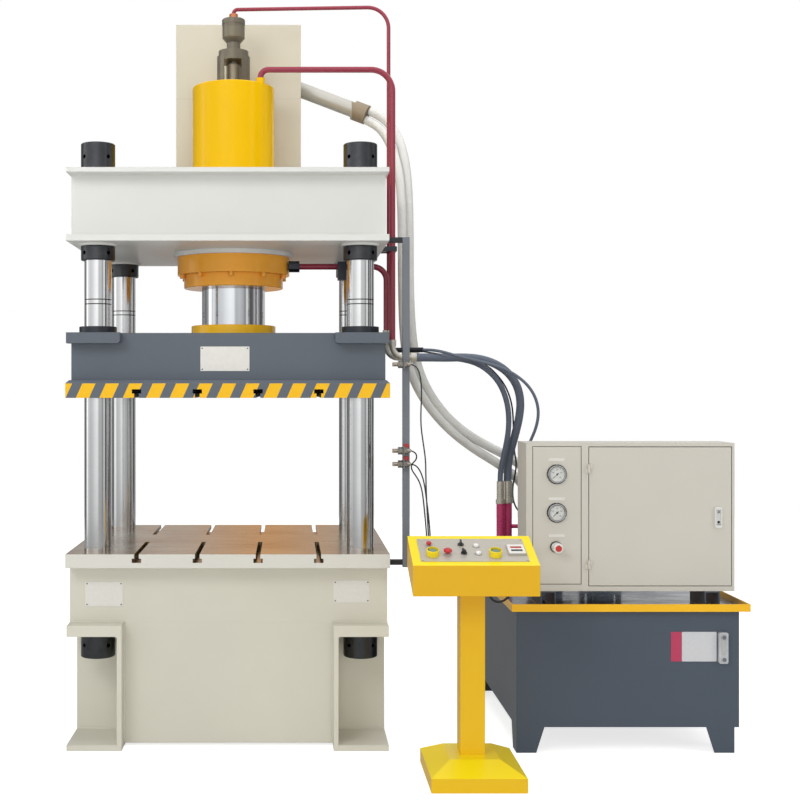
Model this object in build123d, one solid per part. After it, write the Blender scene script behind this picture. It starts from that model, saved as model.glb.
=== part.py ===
from build123d import *
import math
import os

os.makedirs("parts", exist_ok=True)

# Four-column hydraulic press with its power unit and its control pedestal.
# Millimetres. X runs to the right along the front, Y to the rear, Z up.
# The origin lies on the floor under the middle of the press.

# Clearances, each on one side or on the radius
RUN = 0.05
SEAT = 0.1
THROUGH = 0.5
TOUCH = 0.3

# Columns and their nuts
COLUMN_X = 580.0
COLUMN_Y = 430.0
COLUMN_D = 120.0
THREAD_D = 100.0
COLUMN_SHAFT_L = 1279.0
COLUMN_CHAMFER = 3.0
GROOVE_W = 2.5
GROOVE_DEPTH = 1.0
GROOVE_DROPS = (173.0, 193.0)
NUT_D = 150.0
NUT_CHAMFER = 3.0
TOP_NUT_H = 125.0
LOCK_NUT_H = 63.0
BASE_NUT_H = 111.0
TOMMY_D = 18.0
TOMMY_DEPTH = 24.0
PAD_D = 170.0
PAD_T = 10.0

# Base frame
WALL = 20.0
SIDE_REACH = 115.0
PANEL_REACH = 60.0
BRACKET_REACH = 145.0
BASE_H = 788.0
BASE_GROUND = 12.0
BASE_TOP_T = 25.0
FOOT_T = 25.0
LEDGE_Z = 492.0
LEDGE_T = 48.0
GUSSET_T = 21.0
POCKET_INNER_X = 102.0
POCKET_INNER_Y = 125.0
POCKET_R = 10.0
SLEEVE_WALL = 15.0
RIB_X = 160.0

# Table plate and the T-slots of table and platen
TABLE_T = 60.0
TABLE_OVER_X = 5.0
SLOT_XS = (-393.0, -131.0, 131.0, 393.0)
SLOT_NECK_W = 20.0
SLOT_NECK_H = 19.0
SLOT_HEAD_W = 40.0
SLOT_HEAD_H = 18.0
SLOT_RUN_L = 425.0

# Platen, its guide bushes and its working height
DAYLIGHT = 674.0
PLATEN_H = 283.0
PLATEN_FLANGE_H = 63.0
PLATEN_BEVEL = 14.0
PLATEN_BODY_INSET = 15.0
PLATEN_PANEL_REACH = 80.0
PLATEN_CAP_H = 47.0
PLATEN_CAP_INNER = 115.0
PLATEN_CAP_INSET = 3.0
PLATEN_CAP_R = 14.0
PLATEN_DECK_T = 25.0
PLATEN_RIB_X = 250.0
BUSH_D = 140.0
BUSH_FLANGE_D = 165.0
BUSH_FLANGE_H = 30.0
BUSH_FOOT_GAP = 18.0
BUSH_SLEEVE_WALL = 18.0
BUSH_BOLT_D = 10.0

# Crosshead
CROSSHEAD_H = 317.0
CROSSHEAD_TOP_T = 20.0
CROSSHEAD_BOTTOM_T = 28.0
CROSSHEAD_OVER = 2.0
CROSSHEAD_BODY_INSET = 9.0
BOSS_MARGIN = 33.0
BOSS_T = 20.0

# Main cylinder, gland ring, ram
BARREL_D = 390.0
BARREL_WALL = 35.0
BORE_D = BARREL_D - 2 * BARREL_WALL
BARREL_RISE = 472.0
BARREL_CAP_T = 60.0
PORT_D = 120.0
FLANGE_D = BARREL_D + 142.0
FLANGE_H = 83.0
GLAND_D = BARREL_D + 80.0
GLAND_H = 62.0
GLAND_SPIGOT_H = 23.0
RAM_D = BORE_D - 20.0
RAM_RISE = 1055.0
PISTON_H = 80.0
RAM_COLLAR_D = RAM_D + 100.0
RAM_COLLAR_H = 53.0
COLLAR_BOLT_D = 16.0
FLANGE_BOLTS = 10
FLANGE_BOLT_R = FLANGE_D / 2 - 16.0
FLANGE_BOLT_D = 14.0
FLANGE_BOLT_L = 112.0
BOLT_HEAD_D = 23.0
BOLT_HEAD_H = 19.0
FLANGE_BOLT_TURN = 18.0
SIDE_PORT_RISE = 39.0
SIDE_PORT_D = 16.0
STROKE_DOWN = 550.0
STROKE_UP = 50.0

# Prefill valve on top of the cylinder
CAGE_D = 158.0
CAGE_H = 150.0
CAGE_SEAT_T = 12.0
CAGE_ROOF_T = 22.0
CAGE_WALL = 13.0
WINDOW_W = 82.0
WINDOW_TURNS = (0, 120, 240)
SEAT_BORE_D = 96.0
VALVE_FLANGE_D = 143.0
VALVE_FLANGE_H = 27.0
VALVE_NECK_D = 65.0
VALVE_NECK_H = 41.0
VALVE_CONE_H = 23.0
VALVE_HEAD_D = 107.0
VALVE_HEAD_H = 64.0
VALVE_BORE_D = 80.0
VALVE_CAP_D = 110.0
VALVE_CAP_H = 26.0
VALVE_SPIGOT_H = 8.0
VALVE_NUT_AF = 36.0
VALVE_NUT_H = 26.0
POPPET_DISC_D = 110.0
POPPET_DISC_H = 20.0
POPPET_STEM_D = 64.0
POPPET_STEM_H = 117.0
SPINDLE_D = 30.0
PILOT_PISTON_H = 20.0
PILOT_PISTON_GAP = 12.0

# Fill tank behind the cylinder and its outlet
FILL_X0 = -293.0
FILL_X1 = 323.0
FILL_GAP = 20.0
FILL_H = 841.0
FILL_WALL = 5.0
OUTLET_D = 76.0
OUTLET_RISE = 562.0
OUTLET_L = 328.0
OUTLET_DIR = (0.890, -0.229, -0.393)
OUTLET_COLLAR_D = 98.0
OUTLET_COLLAR_BACK = 26.0
OUTLET_COLLAR_FRONT = 45.0
RETURN_HOSE_D = 45.0
RETURN_STUB_L = 22.0

# Steel pipes on the press
PILOT_PIPE_D = 18.0
PILOT_RUN_RISE = 22.0
PILOT_START_R = 20.0
PRESSURE_PIPE_D = 28.0
PRESSURE_X = BARREL_D / 2 - 64.0
PRESSURE_Y = 81.0 - BARREL_D / 2
PRESSURE_BOSS_D = 40.0
PRESSURE_BOSS_H = 24.0
PRESSURE_RUN_RISE = 40.0
PRESSURE_START_R = 38.0
PIPE_BEND_R = 100.0
ROD_PIPE_D = 28.0
ROD_Y = -66.0
ROD_BEND_R = 65.0
PILOT_OUT = 39.0
PILOT_Y = -40.0
PRESSURE_OUT = 51.0
ROD_OUT = 27.0
PILOT_DROP_Z = 1790.0
PRESSURE_DROP_Z = 1789.0
ROD_DROP_Z = 1836.0
ROD_COUPLING_AF = 46.0
ROD_COUPLING_END = FLANGE_D / 2 + 48.0
VALVE_BLOCK_X0 = 494.0
VALVE_BLOCK_X1 = 538.0
VALVE_BLOCK_DROP = 63.0
VALVE_BLOCK_RISE = 21.0
VALVE_BLOCK_W = 70.0
CLAMP_Z0 = 2203.0
CLAMP_Z1 = 2225.0
CLAMP_MARGIN = 20.0

# Elbows and ferrules at the press end of the hoses
ELBOW_R = 55.0
ELBOW_Z = 1707.0
ELBOW_NUT_D = 36.0
ELBOW_NUT_H = 30.0
FERRULE_L = 26.0
PILOT_ELBOW_Z = 1743.0
PILOT_ELBOW_R = 30.0
PILOT_ELBOW_D = 24.0
PILOT_ELBOW_TURN = 20.0
PILOT_ELBOW_END = 893.0
SIGNAL_BOSS_X = 880.0
SIGNAL_BOSS_D = 12.0
SIGNAL_Y = 170.0
SIGNAL_RISE = 325.0

# Free hoses and cables
HOSE_1_D = 26.0
HOSE_2_D = 39.0
PILOT_HOSE_D = 14.0
SIGNAL_D = 8.0
SENSOR_CABLE_D = 6.0
CONSOLE_CABLE_D = 10.0
GLAND_L = 14.0
FERRULE_WALL = 4.0
HOSE_1_END_X = 865.0
HOSE_2_END_X = 860.0

# Sensor mast beside the press
MAST_W = 30.0
MAST_WALL = 3.0
MAST_OUT = 79.0
MAST_Y = -461.0
MAST_FOOT = 10.0
MAST_HEAD = 27.0
ARM_H = 22.0
ARM_W = 30.0
SENSOR_RISES = (820.0, 442.0, 384.0)
SENSOR_D = 18.0
SENSOR_OUT = 17.0
SENSOR_L = 79.0
SENSOR_Y = -491.0
SENSOR_NUT_AF = 24.0
SENSOR_NUT_T = 5.0
SENSOR_TAB_W = 40.0
SENSOR_TAB_T = 5.0

# Oil tank of the power unit
TANK_X0 = 1240.0
TANK_X1 = 2195.0
TANK_Y0 = -600.0
TANK_Y1 = 500.0
TANK_H = 499.0
TANK_WALL = 5.0
LEG_H = 110.0
LEG_TOP_W = 120.0
LEG_FOOT_W = 85.0
LEG_T = 8.0
LEG_INSET_RIGHT = 20.0
LID_T = 6.0
RIM_H = 32.0
RIM_T = 6.0
RIM_OVER_LEFT = 24.0
RIM_OVER_RIGHT = 41.0
RIM_OVER_Y = 24.0
LEVEL_X = 2123.0
LEVEL_RISE = 342.0
LEVEL_W = 40.0
LEVEL_H = 133.0
LEVEL_T = 18.0
LEVEL_BOLT_D = 20.0
LEVEL_BOLT_PITCH = 95.0

# Motor and pump on the tank, behind the cabinet
MOTOR_X = 1770.0
MOTOR_Y = 90.0
BELL_D = 200.0
BELL_H = 150.0
BELL_WALL = 10.0
MOTOR_D = 240.0
MOTOR_L = 330.0
MOTOR_WALL = 14.0
MOTOR_END_T = 16.0
MOTOR_FINS = 24
FIN_H = 14.0
FIN_T = 4.0
COWL_H = 85.0
COWL_WALL = 3.0
COWL_SLOTS = 8
TERMINAL_W = 110.0
TERMINAL_H = 90.0
TERMINAL_OUT = 66.0
ROTOR_D = 150.0
ROTOR_L = 200.0
SHAFT_D = 28.0
COUPLING_D = 70.0
COUPLING_L = 60.0
PUMP_SHAFT_D = 20.0
FAN_D = 200.0
FAN_T = 20.0
PUMP_D = 130.0
PUMP_L = 150.0
PUMP_SHAFT_IN = 60.0
SUCTION_D = 42.0
SUCTION_OUT = 35.0
STRAINER_D = 90.0
STRAINER_H = 110.0
STRAINER_GROUND = 60.0

# Valve manifold on the tank
MANIFOLD_X0 = MOTOR_X - 330.0
MANIFOLD_X1 = MANIFOLD_X0 + 140.0
MANIFOLD_Y0 = 50.0
MANIFOLD_Y1 = 200.0
MANIFOLD_H = 345.0
VALVE_W = 46.0
VALVE_H = 48.0
COIL_D = 44.0
COIL_L = 60.0
VALVE_RISES = (70.0, 150.0, 230.0)
PORT_FITTING_D = 26.0
PORT_FITTING_X = MANIFOLD_X0 + 30.0
PORT_FITTING_Y = 105.0
PORT_FITTING_Z = 985.0
SIGNAL_GLAND_L = 14.0
SIGNAL_GLAND_D = 16.0
RETURN_PORT_XS = (MANIFOLD_X0 + 60.0, MANIFOLD_X0 + 130.0)
RETURN_PORT_Y = 262.0
RETURN_PORT_H = 85.0
BREATHER_X = 2060.0
BREATHER_Y = 300.0
BREATHER_D = 80.0
BREATHER_H = 60.0

# Supply pipes between manifold and hoses
SUPPLY_1 = (1293.0, 125.0)
SUPPLY_2 = (1335.0, 162.0)
SUPPLY_1_D = 37.0
SUPPLY_2_D = 42.0
SUPPLY_TOP_Z = 1001.0
SUPPLY_FERRULE_H = 108.0
SUPPLY_COLLAR_H = 21.0
SUPPLY_COLLAR_WALL = 4.5
SUPPLY_FOOT_H = 10.0
SUPPLY_FOOT_WALL = 5.0
STUB_D = 20.0
STUB_Z = 887.0

# Electrical cabinet
CABINET_X0 = 1289.0
CABINET_X1 = 2189.0
CABINET_Y0 = -561.0
CABINET_Y1 = -361.0
CABINET_H = 640.0
CABINET_WALL = 3.0
SUPPORT_H = 72.0
SUPPORT_XS = (1352.0, 2060.0)
SUPPORT_W = 66.0
SUPPORT_WALL = 6.0
DOOR_X0 = 1561.0
DOOR_X1 = 2175.0
DOOR_RISE = 24.0
DOOR_H = 598.0
DOOR_T = 3.0
DOOR_LIP = 18.0
DOOR_GAP = 3.0
HINGE_D = 13.0
HINGE_H = 38.0
HINGE_PIN_D = 6.0
HINGE_RISES = (96.0, 511.0)
HINGE_OUT = 7.5
HINGE_LEAF_W = 16.0
HINGE_LEAF_T = 2.5
PANEL_X0 = 1317.0
PANEL_X1 = 1527.0
PANEL_RISE = 30.0
PANEL_H = 595.0
PANEL_GROOVE_W = 2.5
PANEL_GROOVE_DEPTH = 1.2

# Gear inside the cabinet
GEAR_MARGIN_X = 60.0
GEAR_MARGIN_Z = 50.0
GEAR_PLATE_T = 15.0
GEAR_RAIL_T = 8.0
GEAR_RAIL_H = 30.0
GEAR_RAIL_INSET = 40.0
GEAR_FIRST = 70.0
GEAR_PITCH = 80.0
GEAR_W = 56.0
GEAR_DEPTH = 62.0
GEAR_ROWS = ((60.0, 50.0), (230.0, 90.0), (400.0, 80.0))

# Door lock with a handle that swings up
LOCK_X = 2118.0
LOCK_RISE = 319.0
LOCK_W = 30.0
LOCK_H = 90.0
LOCK_T = 9.0
LOCK_RECESS = 6.5
HANDLE_W = 18.0
HANDLE_H = 62.0
HANDLE_T = 5.0
HANDLE_PIN_D = 3.0

# Gauges and pressure regulator on the cabinet front
GAUGE_X = 1421.0
GAUGE_RISES = (505.0, 339.0)
GAUGE_FLANGE_D = 86.0
GAUGE_FLANGE_T = 3.0
GAUGE_BEZEL_D = 76.0
GAUGE_BEZEL_H = 13.0
GAUGE_DIAL_D = 64.0
GAUGE_CASE_D = 60.0
GAUGE_CASE_L = 42.0
GAUGE_SPINDLE_D = 3.0
NEEDLE_L = 24.0
NEEDLE_TAIL = 9.0
NEEDLE_W = 3.0
NEEDLE_T = 1.2
NEEDLE_HUB_D = 8.0
NEEDLE_LIFT = 1.5
KNOB_X = 1417.0
KNOB_RISE = 191.0
KNOB_RING_D = 50.0
KNOB_RING_T = 8.0
KNOB_D = 42.0
KNOB_L = 50.0
KNOB_CAP_D = 28.0
KNOB_CAP_T = 3.0
KNOB_SHAFT_D = 12.0
REGULATOR_D = 46.0
REGULATOR_L = 70.0

# Control pedestal
CONSOLE_X = 1001.0
CONSOLE_Y = -900.0
FOOT_W = 374.0
FOOT_Y0 = -1136.0
FOOT_Y1 = -720.0
FOOT_RIM_H = 56.0
FOOT_TOP_Z = 95.0
FOOT_TOP_W = 200.0
FOOT_TOP_L = 226.0
POST_W = 99.0
POST_WALL = 4.0
BOX_L = 500.0
BOX_FRONT_Y = -1055.0
BOX_REAR_Y = -817.0
BOX_FRONT_Z = 747.0
BOX_H = 121.0
BOX_SLOPE = 20.3
BOX_WALL = 3.0
PANEL_L = 430.0
PANEL_W = 192.0
PANEL_T = 3.0
PANEL_FRONT_GAP = 31.0

# Controls, each placed by its offset to the right and its distance up the slope
GREEN_LEFT = (-164.0, 84.0)
GREEN_RIGHT = (86.0, 80.0)
RESET = (-171.0, 165.0)
STOP = (-103.0, 92.0)
SELECTOR_LEFT = (-42.0, 165.0)
SELECTOR_RIGHT = (-38.0, 92.0)
LAMPS = ((19.0, 156.0), (20.0, 92.0))
DISPLAY = (175.0, 120.0)
SHROUD_D = 51.0
SHROUD_H = 25.0
SHROUD_WALL = 4.0
GREEN_D = 38.0
GREEN_H = 13.0
GREEN_LIFT = 7.0
GREEN_TRAVEL = 4.0
STOP_D = 34.0
STOP_CAP_H = 13.0
STOP_LIFT = 11.0
RESET_D = 21.0
RESET_H = 7.0
RESET_LIFT = 8.5
STEM_D = 12.0
STEM_IN = 30.0
BEZEL_D = 29.0
BEZEL_H = 3.0
LAMP_D = 20.0
LAMP_H = 7.0
KNOB_BASE_D = 25.0
KNOB_BASE_H = 5.0
KNOB_GRIP_W = 7.0
KNOB_GRIP_H = 14.0
DISPLAY_W = 72.0
DISPLAY_L = 82.0
DISPLAY_H = 8.0

# Heights and half widths that follow from the sizes above
TABLE_TOP = BASE_H + TABLE_T
SHOULDER_Z = TABLE_TOP + COLUMN_SHAFT_L
CROSSHEAD_Z = SHOULDER_Z + LOCK_NUT_H + PAD_T
CROSSHEAD_TOP = CROSSHEAD_Z + CROSSHEAD_H
COLUMN_TOP = CROSSHEAD_TOP + TOP_NUT_H - NUT_CHAMFER
COLUMN_FOOT = LEDGE_Z - BASE_NUT_H
PLATEN_Z = TABLE_TOP + DAYLIGHT
PLATEN_TOP = PLATEN_Z + PLATEN_H
BASE_HALF_X = COLUMN_X + SIDE_REACH
BASE_HALF_Y = COLUMN_Y + PANEL_REACH
BRACKET_HALF_Y = COLUMN_Y + BRACKET_REACH
TABLE_HALF_X = BASE_HALF_X + TABLE_OVER_X
CROSSHEAD_HALF_X = BASE_HALF_X + CROSSHEAD_OVER
PLATEN_HALF_Y = COLUMN_Y + PLATEN_PANEL_REACH
FILL_DEPTH = BRACKET_HALF_Y - BARREL_D / 2 - FILL_GAP
POCKET_X = COLUMN_X - POCKET_INNER_X
POCKET_Y = COLUMN_Y - POCKET_INNER_Y
GUSSET_X = POCKET_X - GUSSET_T
BOSS_D = FLANGE_D + BOSS_MARGIN
BOSS_Z = CROSSHEAD_Z - BOSS_T
FLANGE_Z = BOSS_Z - FLANGE_H
GLAND_Z0 = FLANGE_Z - GLAND_H
BARREL_TOP = CROSSHEAD_TOP + BARREL_RISE
RAM_TOP = PLATEN_TOP + RAM_RISE
CAGE_TOP = BARREL_TOP + CAGE_H
VALVE_FLANGE_Z = CAGE_TOP + VALVE_FLANGE_H
VALVE_NECK_Z = VALVE_FLANGE_Z + VALVE_NECK_H
VALVE_HEAD_Z = VALVE_NECK_Z + VALVE_CONE_H
VALVE_HEAD_TOP = VALVE_HEAD_Z + VALVE_HEAD_H
VALVE_CAP_TOP = VALVE_HEAD_TOP + VALVE_CAP_H
VALVE_TOP = VALVE_CAP_TOP + VALVE_NUT_H
PILOT_PIPE_X = CROSSHEAD_HALF_X + PILOT_OUT
PRESSURE_PIPE_X = CROSSHEAD_HALF_X + PRESSURE_OUT
ROD_PIPE_X = CROSSHEAD_HALF_X + ROD_OUT
ROD_PIPE_Z = FLANGE_Z + SIDE_PORT_RISE
VALVE_BLOCK_Z0 = ROD_PIPE_Z - VALVE_BLOCK_DROP
VALVE_BLOCK_Z1 = ROD_PIPE_Z + VALVE_BLOCK_RISE
MAST_X = TABLE_HALF_X + MAST_OUT
SENSOR_X0 = TABLE_HALF_X + SENSOR_OUT
SENSOR_ZS = [TABLE_TOP + rise for rise in SENSOR_RISES]
MAST_Z0 = BASE_H - MAST_FOOT
MAST_Z1 = CROSSHEAD_Z + MAST_HEAD
TANK_TOP = LEG_H + TANK_H
LID_TOP = TANK_TOP + LID_T
MANIFOLD_TOP = LID_TOP + MANIFOLD_H
CABINET_Z = LID_TOP + SUPPORT_H
CABINET_TOP = CABINET_Z + CABINET_H
BOX_RISE = (BOX_REAR_Y - BOX_FRONT_Y) * math.tan(math.radians(BOX_SLOPE))
OUTLET_Y = BRACKET_HALF_Y - FILL_DEPTH / 2
OUTLET_Z = CROSSHEAD_TOP + OUTLET_RISE
PILOT_HOSE_Y = PILOT_Y - 57.1433
CABLE_X = SENSOR_X0 + SENSOR_L + 2.0
CONSOLE_INLET = (BOX_REAR_Y + 12.0, BOX_FRONT_Z + 146.0)
QUADRANTS = [(-1, -1), (1, -1), (-1, 1), (1, 1)]


def follow(route, start, end):
    """The route with its first points moved to start and its last ones to end."""
    move_start = Vector(*start) - Vector(*route[0])
    move_end = Vector(*end) - Vector(*route[-1])
    moved = []
    for index, point in enumerate(route):
        share = min(1.0, max(0.0, (index - 2) / (len(route) - 5)))
        moved.append(tuple(Vector(*point) + move_start * (1 - share) + move_end * share))
    return moved


# Where the free hoses and cables run, from the press end to the power unit.
# The first and the last point of each lie on the fittings that hold it, and the points
# between share the move when a fitting moves.
HOSE_1_ROUTE = follow([
    (865, -66, 1707), (923, -66, 1707), (994, -52, 1707), (1082, -26, 1702), (1160, -4, 1683),
    (1223, 18, 1644), (1275, 38, 1589), (1309, 56, 1518), (1326, 73, 1438), (1327, 89, 1356),
    (1315, 104, 1274), (1301, 117, 1203), (1293, 125, 1155), (1293, 125, 1109),
], (HOSE_1_END_X, ROD_Y, ELBOW_Z),
    (*SUPPLY_1, SUPPLY_TOP_Z + SUPPLY_FERRULE_H))
HOSE_2_ROUTE = follow([
    (860, -114, 1707), (930, -114, 1707), (1010, -96, 1706), (1089, -71, 1709), (1168, -48, 1703),
    (1243, -22, 1681), (1310, 8, 1640), (1360, 38, 1578), (1383, 68, 1499), (1379, 94, 1414),
    (1362, 124, 1325), (1344, 150, 1243), (1335, 162, 1175), (1335, 162, 1109),
], (HOSE_2_END_X, PRESSURE_Y, ELBOW_Z),
    (*SUPPLY_2, SUPPLY_TOP_Z + SUPPLY_FERRULE_H))
PILOT_ROUTE = follow([
    (893, -97.1433, 1743), (935, -112.43, 1743), (990, -132, 1731), (1053, -147, 1711),
    (1124, -155, 1694), (1195, -158, 1677), (1262, -160, 1655), (1325, -158, 1620),
    (1379, -154, 1573), (1415, -148, 1513), (1428, -140, 1445), (1417, -130, 1377),
    (1394, -112, 1316), (1372, -84, 1250), (1378, -42, 1190), (1400, 0, 1152), (1426, 36, 1128),
    (1448, 66, 1106), (1465, 91, 1072), (1470, 105, 1027), (1470, 105, 985),
], (PILOT_ELBOW_END, PILOT_HOSE_Y, PILOT_ELBOW_Z),
    (PORT_FITTING_X, PORT_FITTING_Y, PORT_FITTING_Z))
SIGNAL_ROUTE = follow([
    (880, -70, 1743), (880, -46, 1743), (892, -20, 1740), (925, -4, 1734), (968, 2, 1728),
    (1025, 6, 1719), (1092, 16, 1708), (1160, 34, 1690), (1221, 50, 1670), (1262, 62, 1633),
    (1300, 72, 1588), (1328, 82, 1535), (1348, 104, 1473), (1357, 128, 1406), (1362, 152, 1326),
    (1370, 172, 1252), (1384, 188, 1192), (1378, 200, 1134), (1367, 200, 1080), (1366, 196, 1022),
    (1378, 184, 978), (1402, 172, 948), (1432, 170, 940),
], (SIGNAL_BOSS_X, PILOT_Y - 30.0, PILOT_ELBOW_Z),
    (MANIFOLD_X0 - 8.0, SIGNAL_Y, LID_TOP + SIGNAL_RISE))
RETURN_1_ROUTE = follow([
    (650, 308, 2908), (692, 289, 2884), (739, 254, 2831), (775, 208, 2744), (803, 170, 2635),
    (813, 137, 2490), (815, 120, 2300), (816, 122, 2080), (822, 140, 1880), (838, 168, 1720),
    (884, 196, 1585), (960, 219, 1463), (1062, 236, 1352), (1180, 247, 1262), (1300, 253, 1190),
    (1402, 256, 1117), (1468, 259, 1012), (1495, 261, 880), (1500, 262, 770), (1500, 262, 700),
], (FILL_X1 + 327.0, OUTLET_Y - 87.0, OUTLET_Z - 171.0),
    (RETURN_PORT_XS[0], RETURN_PORT_Y, LID_TOP + RETURN_PORT_H))
RETURN_2_ROUTE = follow([
    (670, 308, 2952), (716, 292, 2928), (768, 265, 2877), (815, 232, 2788), (840, 200, 2668),
    (850, 172, 2520), (853, 158, 2330), (853, 160, 2110), (861, 176, 1900), (881, 200, 1735),
    (925, 222, 1603), (1004, 240, 1480), (1108, 252, 1378), (1232, 259, 1302), (1362, 262, 1240),
    (1468, 262, 1152), (1536, 262, 1035), (1566, 262, 900), (1570, 262, 780), (1570, 262, 700),
], (FILL_X1 + 347.0, OUTLET_Y - 87.0, OUTLET_Z - 127.0),
    (RETURN_PORT_XS[1], RETURN_PORT_Y, LID_TOP + RETURN_PORT_H))
CABLE_1_ROUTE = follow([
    (798, -491, 1668), (815, -492, 1663), (831, -495, 1643), (840, -508, 1602), (841, -533, 1540),
    (834, -562, 1470), (831, -590, 1400), (838, -618, 1330), (845, -648, 1262), (843, -676, 1192),
    (842, -702, 1122), (843, -720, 1062), (844, -735, 1010), (845, -747, 968), (846, -758, 934),
    (846, -769, 910), (846, -785, 893), (846, -805, 893),
], (CABLE_X, SENSOR_Y, SENSOR_ZS[0]),
    (CONSOLE_X - 155.0, *CONSOLE_INLET))
CABLE_2_ROUTE = follow([
    (798, -491, 1290), (816, -490, 1284), (825, -484, 1266), (821, -477, 1248), (808, -473, 1236),
    (800, -477, 1220), (803, -494, 1203), (815, -530, 1184), (827, -574, 1160), (834, -616, 1124),
    (836, -652, 1080), (837, -684, 1040), (838, -710, 1000), (839, -732, 962), (839, -752, 928),
    (839, -768, 907), (839, -785, 893), (839, -805, 893),
], (CABLE_X, SENSOR_Y, SENSOR_ZS[1]),
    (CONSOLE_X - 162.0, *CONSOLE_INLET))
CABLE_3_ROUTE = follow([
    (798, -491, 1232), (816, -493, 1228), (831, -503, 1213), (840, -526, 1192), (846, -554, 1166),
    (849, -586, 1136), (850, -620, 1102), (851, -660, 1064), (852, -698, 1024), (853, -732, 980),
    (853, -752, 938), (853, -766, 908), (853, -785, 893), (853, -805, 893),
], (CABLE_X, SENSOR_Y, SENSOR_ZS[2]),
    (CONSOLE_X - 148.0, *CONSOLE_INLET))
CONSOLE_CABLE_ROUTE = follow([
    (1060, -803, 880), (1060, -779, 880), (1063, -753, 868), (1070, -733, 842), (1079, -719, 806),
    (1089, -707, 764), (1099, -696, 720), (1112, -682, 684), (1132, -664, 662), (1158, -642, 654),
    (1186, -616, 657), (1208, -588, 668), (1222, -560, 684), (1230, -536, 698), (1237, -513, 709),
    (1246, -492, 716), (1260, -475, 719), (1281, -468, 720),
], (CONSOLE_X + 59.0, BOX_REAR_Y + 14.0, BOX_FRONT_Z + 133.0),
    (CABINET_X0 - 8.0, CABINET_Y0 + 93.0, CABINET_Z + 33.0))


def block(x0, x1, y0, y1, z0, z1):
    """A rectangular block between two corners."""
    centre = ((x0 + x1) / 2, (y0 + y1) / 2, (z0 + z1) / 2)
    return Pos(*centre) * Box(abs(x1 - x0), abs(y1 - y0), abs(z1 - z0))


def upright(x, y, z0, z1, diameter):
    """A round bar that stands upright."""
    return Pos(x, y, (z0 + z1) / 2) * Cylinder(diameter / 2, abs(z1 - z0))


def along_x(x0, x1, y, z, diameter):
    """A round bar along X."""
    return Pos((x0 + x1) / 2, y, z) * Rot(0, 90, 0) * Cylinder(diameter / 2, abs(x1 - x0))


def along_y(x, y0, y1, z, diameter):
    """A round bar along Y."""
    return Pos(x, (y0 + y1) / 2, z) * Rot(90, 0, 0) * Cylinder(diameter / 2, abs(y1 - y0))


def turned(profile, x=0.0, y=0.0):
    """A turned piece: the profile's points are radius and height."""
    face = make_face(Polyline(*[(r, 0, z) for r, z in profile], close=True))
    return Pos(x, y, 0) * revolve(face, Axis.Z)


def tube(points, radii, diameter):
    """A round bar bent along straight runs and arcs."""
    path = FilletPolyline(*points, radius=radii)
    heading = Vector(*points[1]) - Vector(*points[0])
    return sweep(Plane(origin=points[0], z_dir=heading) * Circle(diameter / 2), path=path)


def cord(name, route, diameter):
    """A free hose or cable, with each arc as large as its two runs allow."""
    radii = []
    for before, corner, after in zip(route, route[1:], route[2:]):
        run_in = Vector(*corner) - Vector(*before)
        run_out = Vector(*after) - Vector(*corner)
        half_turn = math.radians(run_in.get_angle(run_out)) / 2
        radii.append(0.45 * min(run_in.length, run_out.length) / math.tan(half_turn))
    piece = tube(route, radii, diameter)
    length = piece.volume / (math.pi * diameter * diameter / 4)
    print(f"{name}: length {length:.0f} mm, radii {[round(r) for r in radii]}")
    return piece


def boot(route, diameter, length):
    """Short sleeve in line with a cord, from the cord's first point backwards."""
    heading = Vector(*route[0]) - Vector(*route[1])
    return extrude(Plane(origin=route[0], z_dir=heading) * Circle(diameter / 2), amount=length)


def gather(pieces):
    """Separate solids that share one node."""
    return Compound(children=list(pieces))


def base_cells(floor_z, roof_z):
    """Hollows of the base between its ribs, from a floor up to a roof."""
    deep_y = BASE_HALF_Y - WALL
    cells = []
    for x0, x1 in ((-GUSSET_X, -RIB_X), (-RIB_X + WALL, RIB_X - WALL), (RIB_X, GUSSET_X)):
        cells.append(block(x0, x1, -deep_y, deep_y, floor_z, roof_z))
    return cells


def base_box():
    """Upper part of the base: a ribbed box with a sleeve round each column's end."""
    low = LEDGE_Z + LEDGE_T
    roof_z = BASE_H - BASE_TOP_T
    deep_y = BASE_HALF_Y - WALL
    body = block(-BASE_HALF_X, BASE_HALF_X, -BASE_HALF_Y, BASE_HALF_Y, low, BASE_H)
    for cell in base_cells(low - 1, roof_z):
        body -= cell
    for side in (-1, 1):
        cell = block(side * POCKET_X, side * (BASE_HALF_X - WALL), -deep_y, deep_y, low - 1, roof_z)
        for sy in (-1, 1):
            cell -= upright(side * COLUMN_X, sy * COLUMN_Y, low - 1, BASE_H,
                            THREAD_D + 2 * SLEEVE_WALL)
        body -= cell
    return body


def base_core():
    """Lower part of the base between the corner brackets: walls, ribs and a floor."""
    high = LEDGE_Z + LEDGE_T
    body = block(-GUSSET_X, GUSSET_X, -BASE_HALF_Y, BASE_HALF_Y, BASE_GROUND, high)
    for cell in base_cells(BASE_GROUND + WALL, high + 1):
        body -= cell
    return body


def base_wing(side):
    """Side part of the base between its front and rear brackets, hollow inside."""
    high = LEDGE_Z + LEDGE_T
    narrow_y = POCKET_Y - WALL
    body = block(side * GUSSET_X, side * BASE_HALF_X, -POCKET_Y, POCKET_Y, BASE_GROUND, high)
    return body - block(side * POCKET_X, side * (BASE_HALF_X - WALL), -narrow_y, narrow_y,
                        BASE_GROUND + WALL, high + 1)


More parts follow.
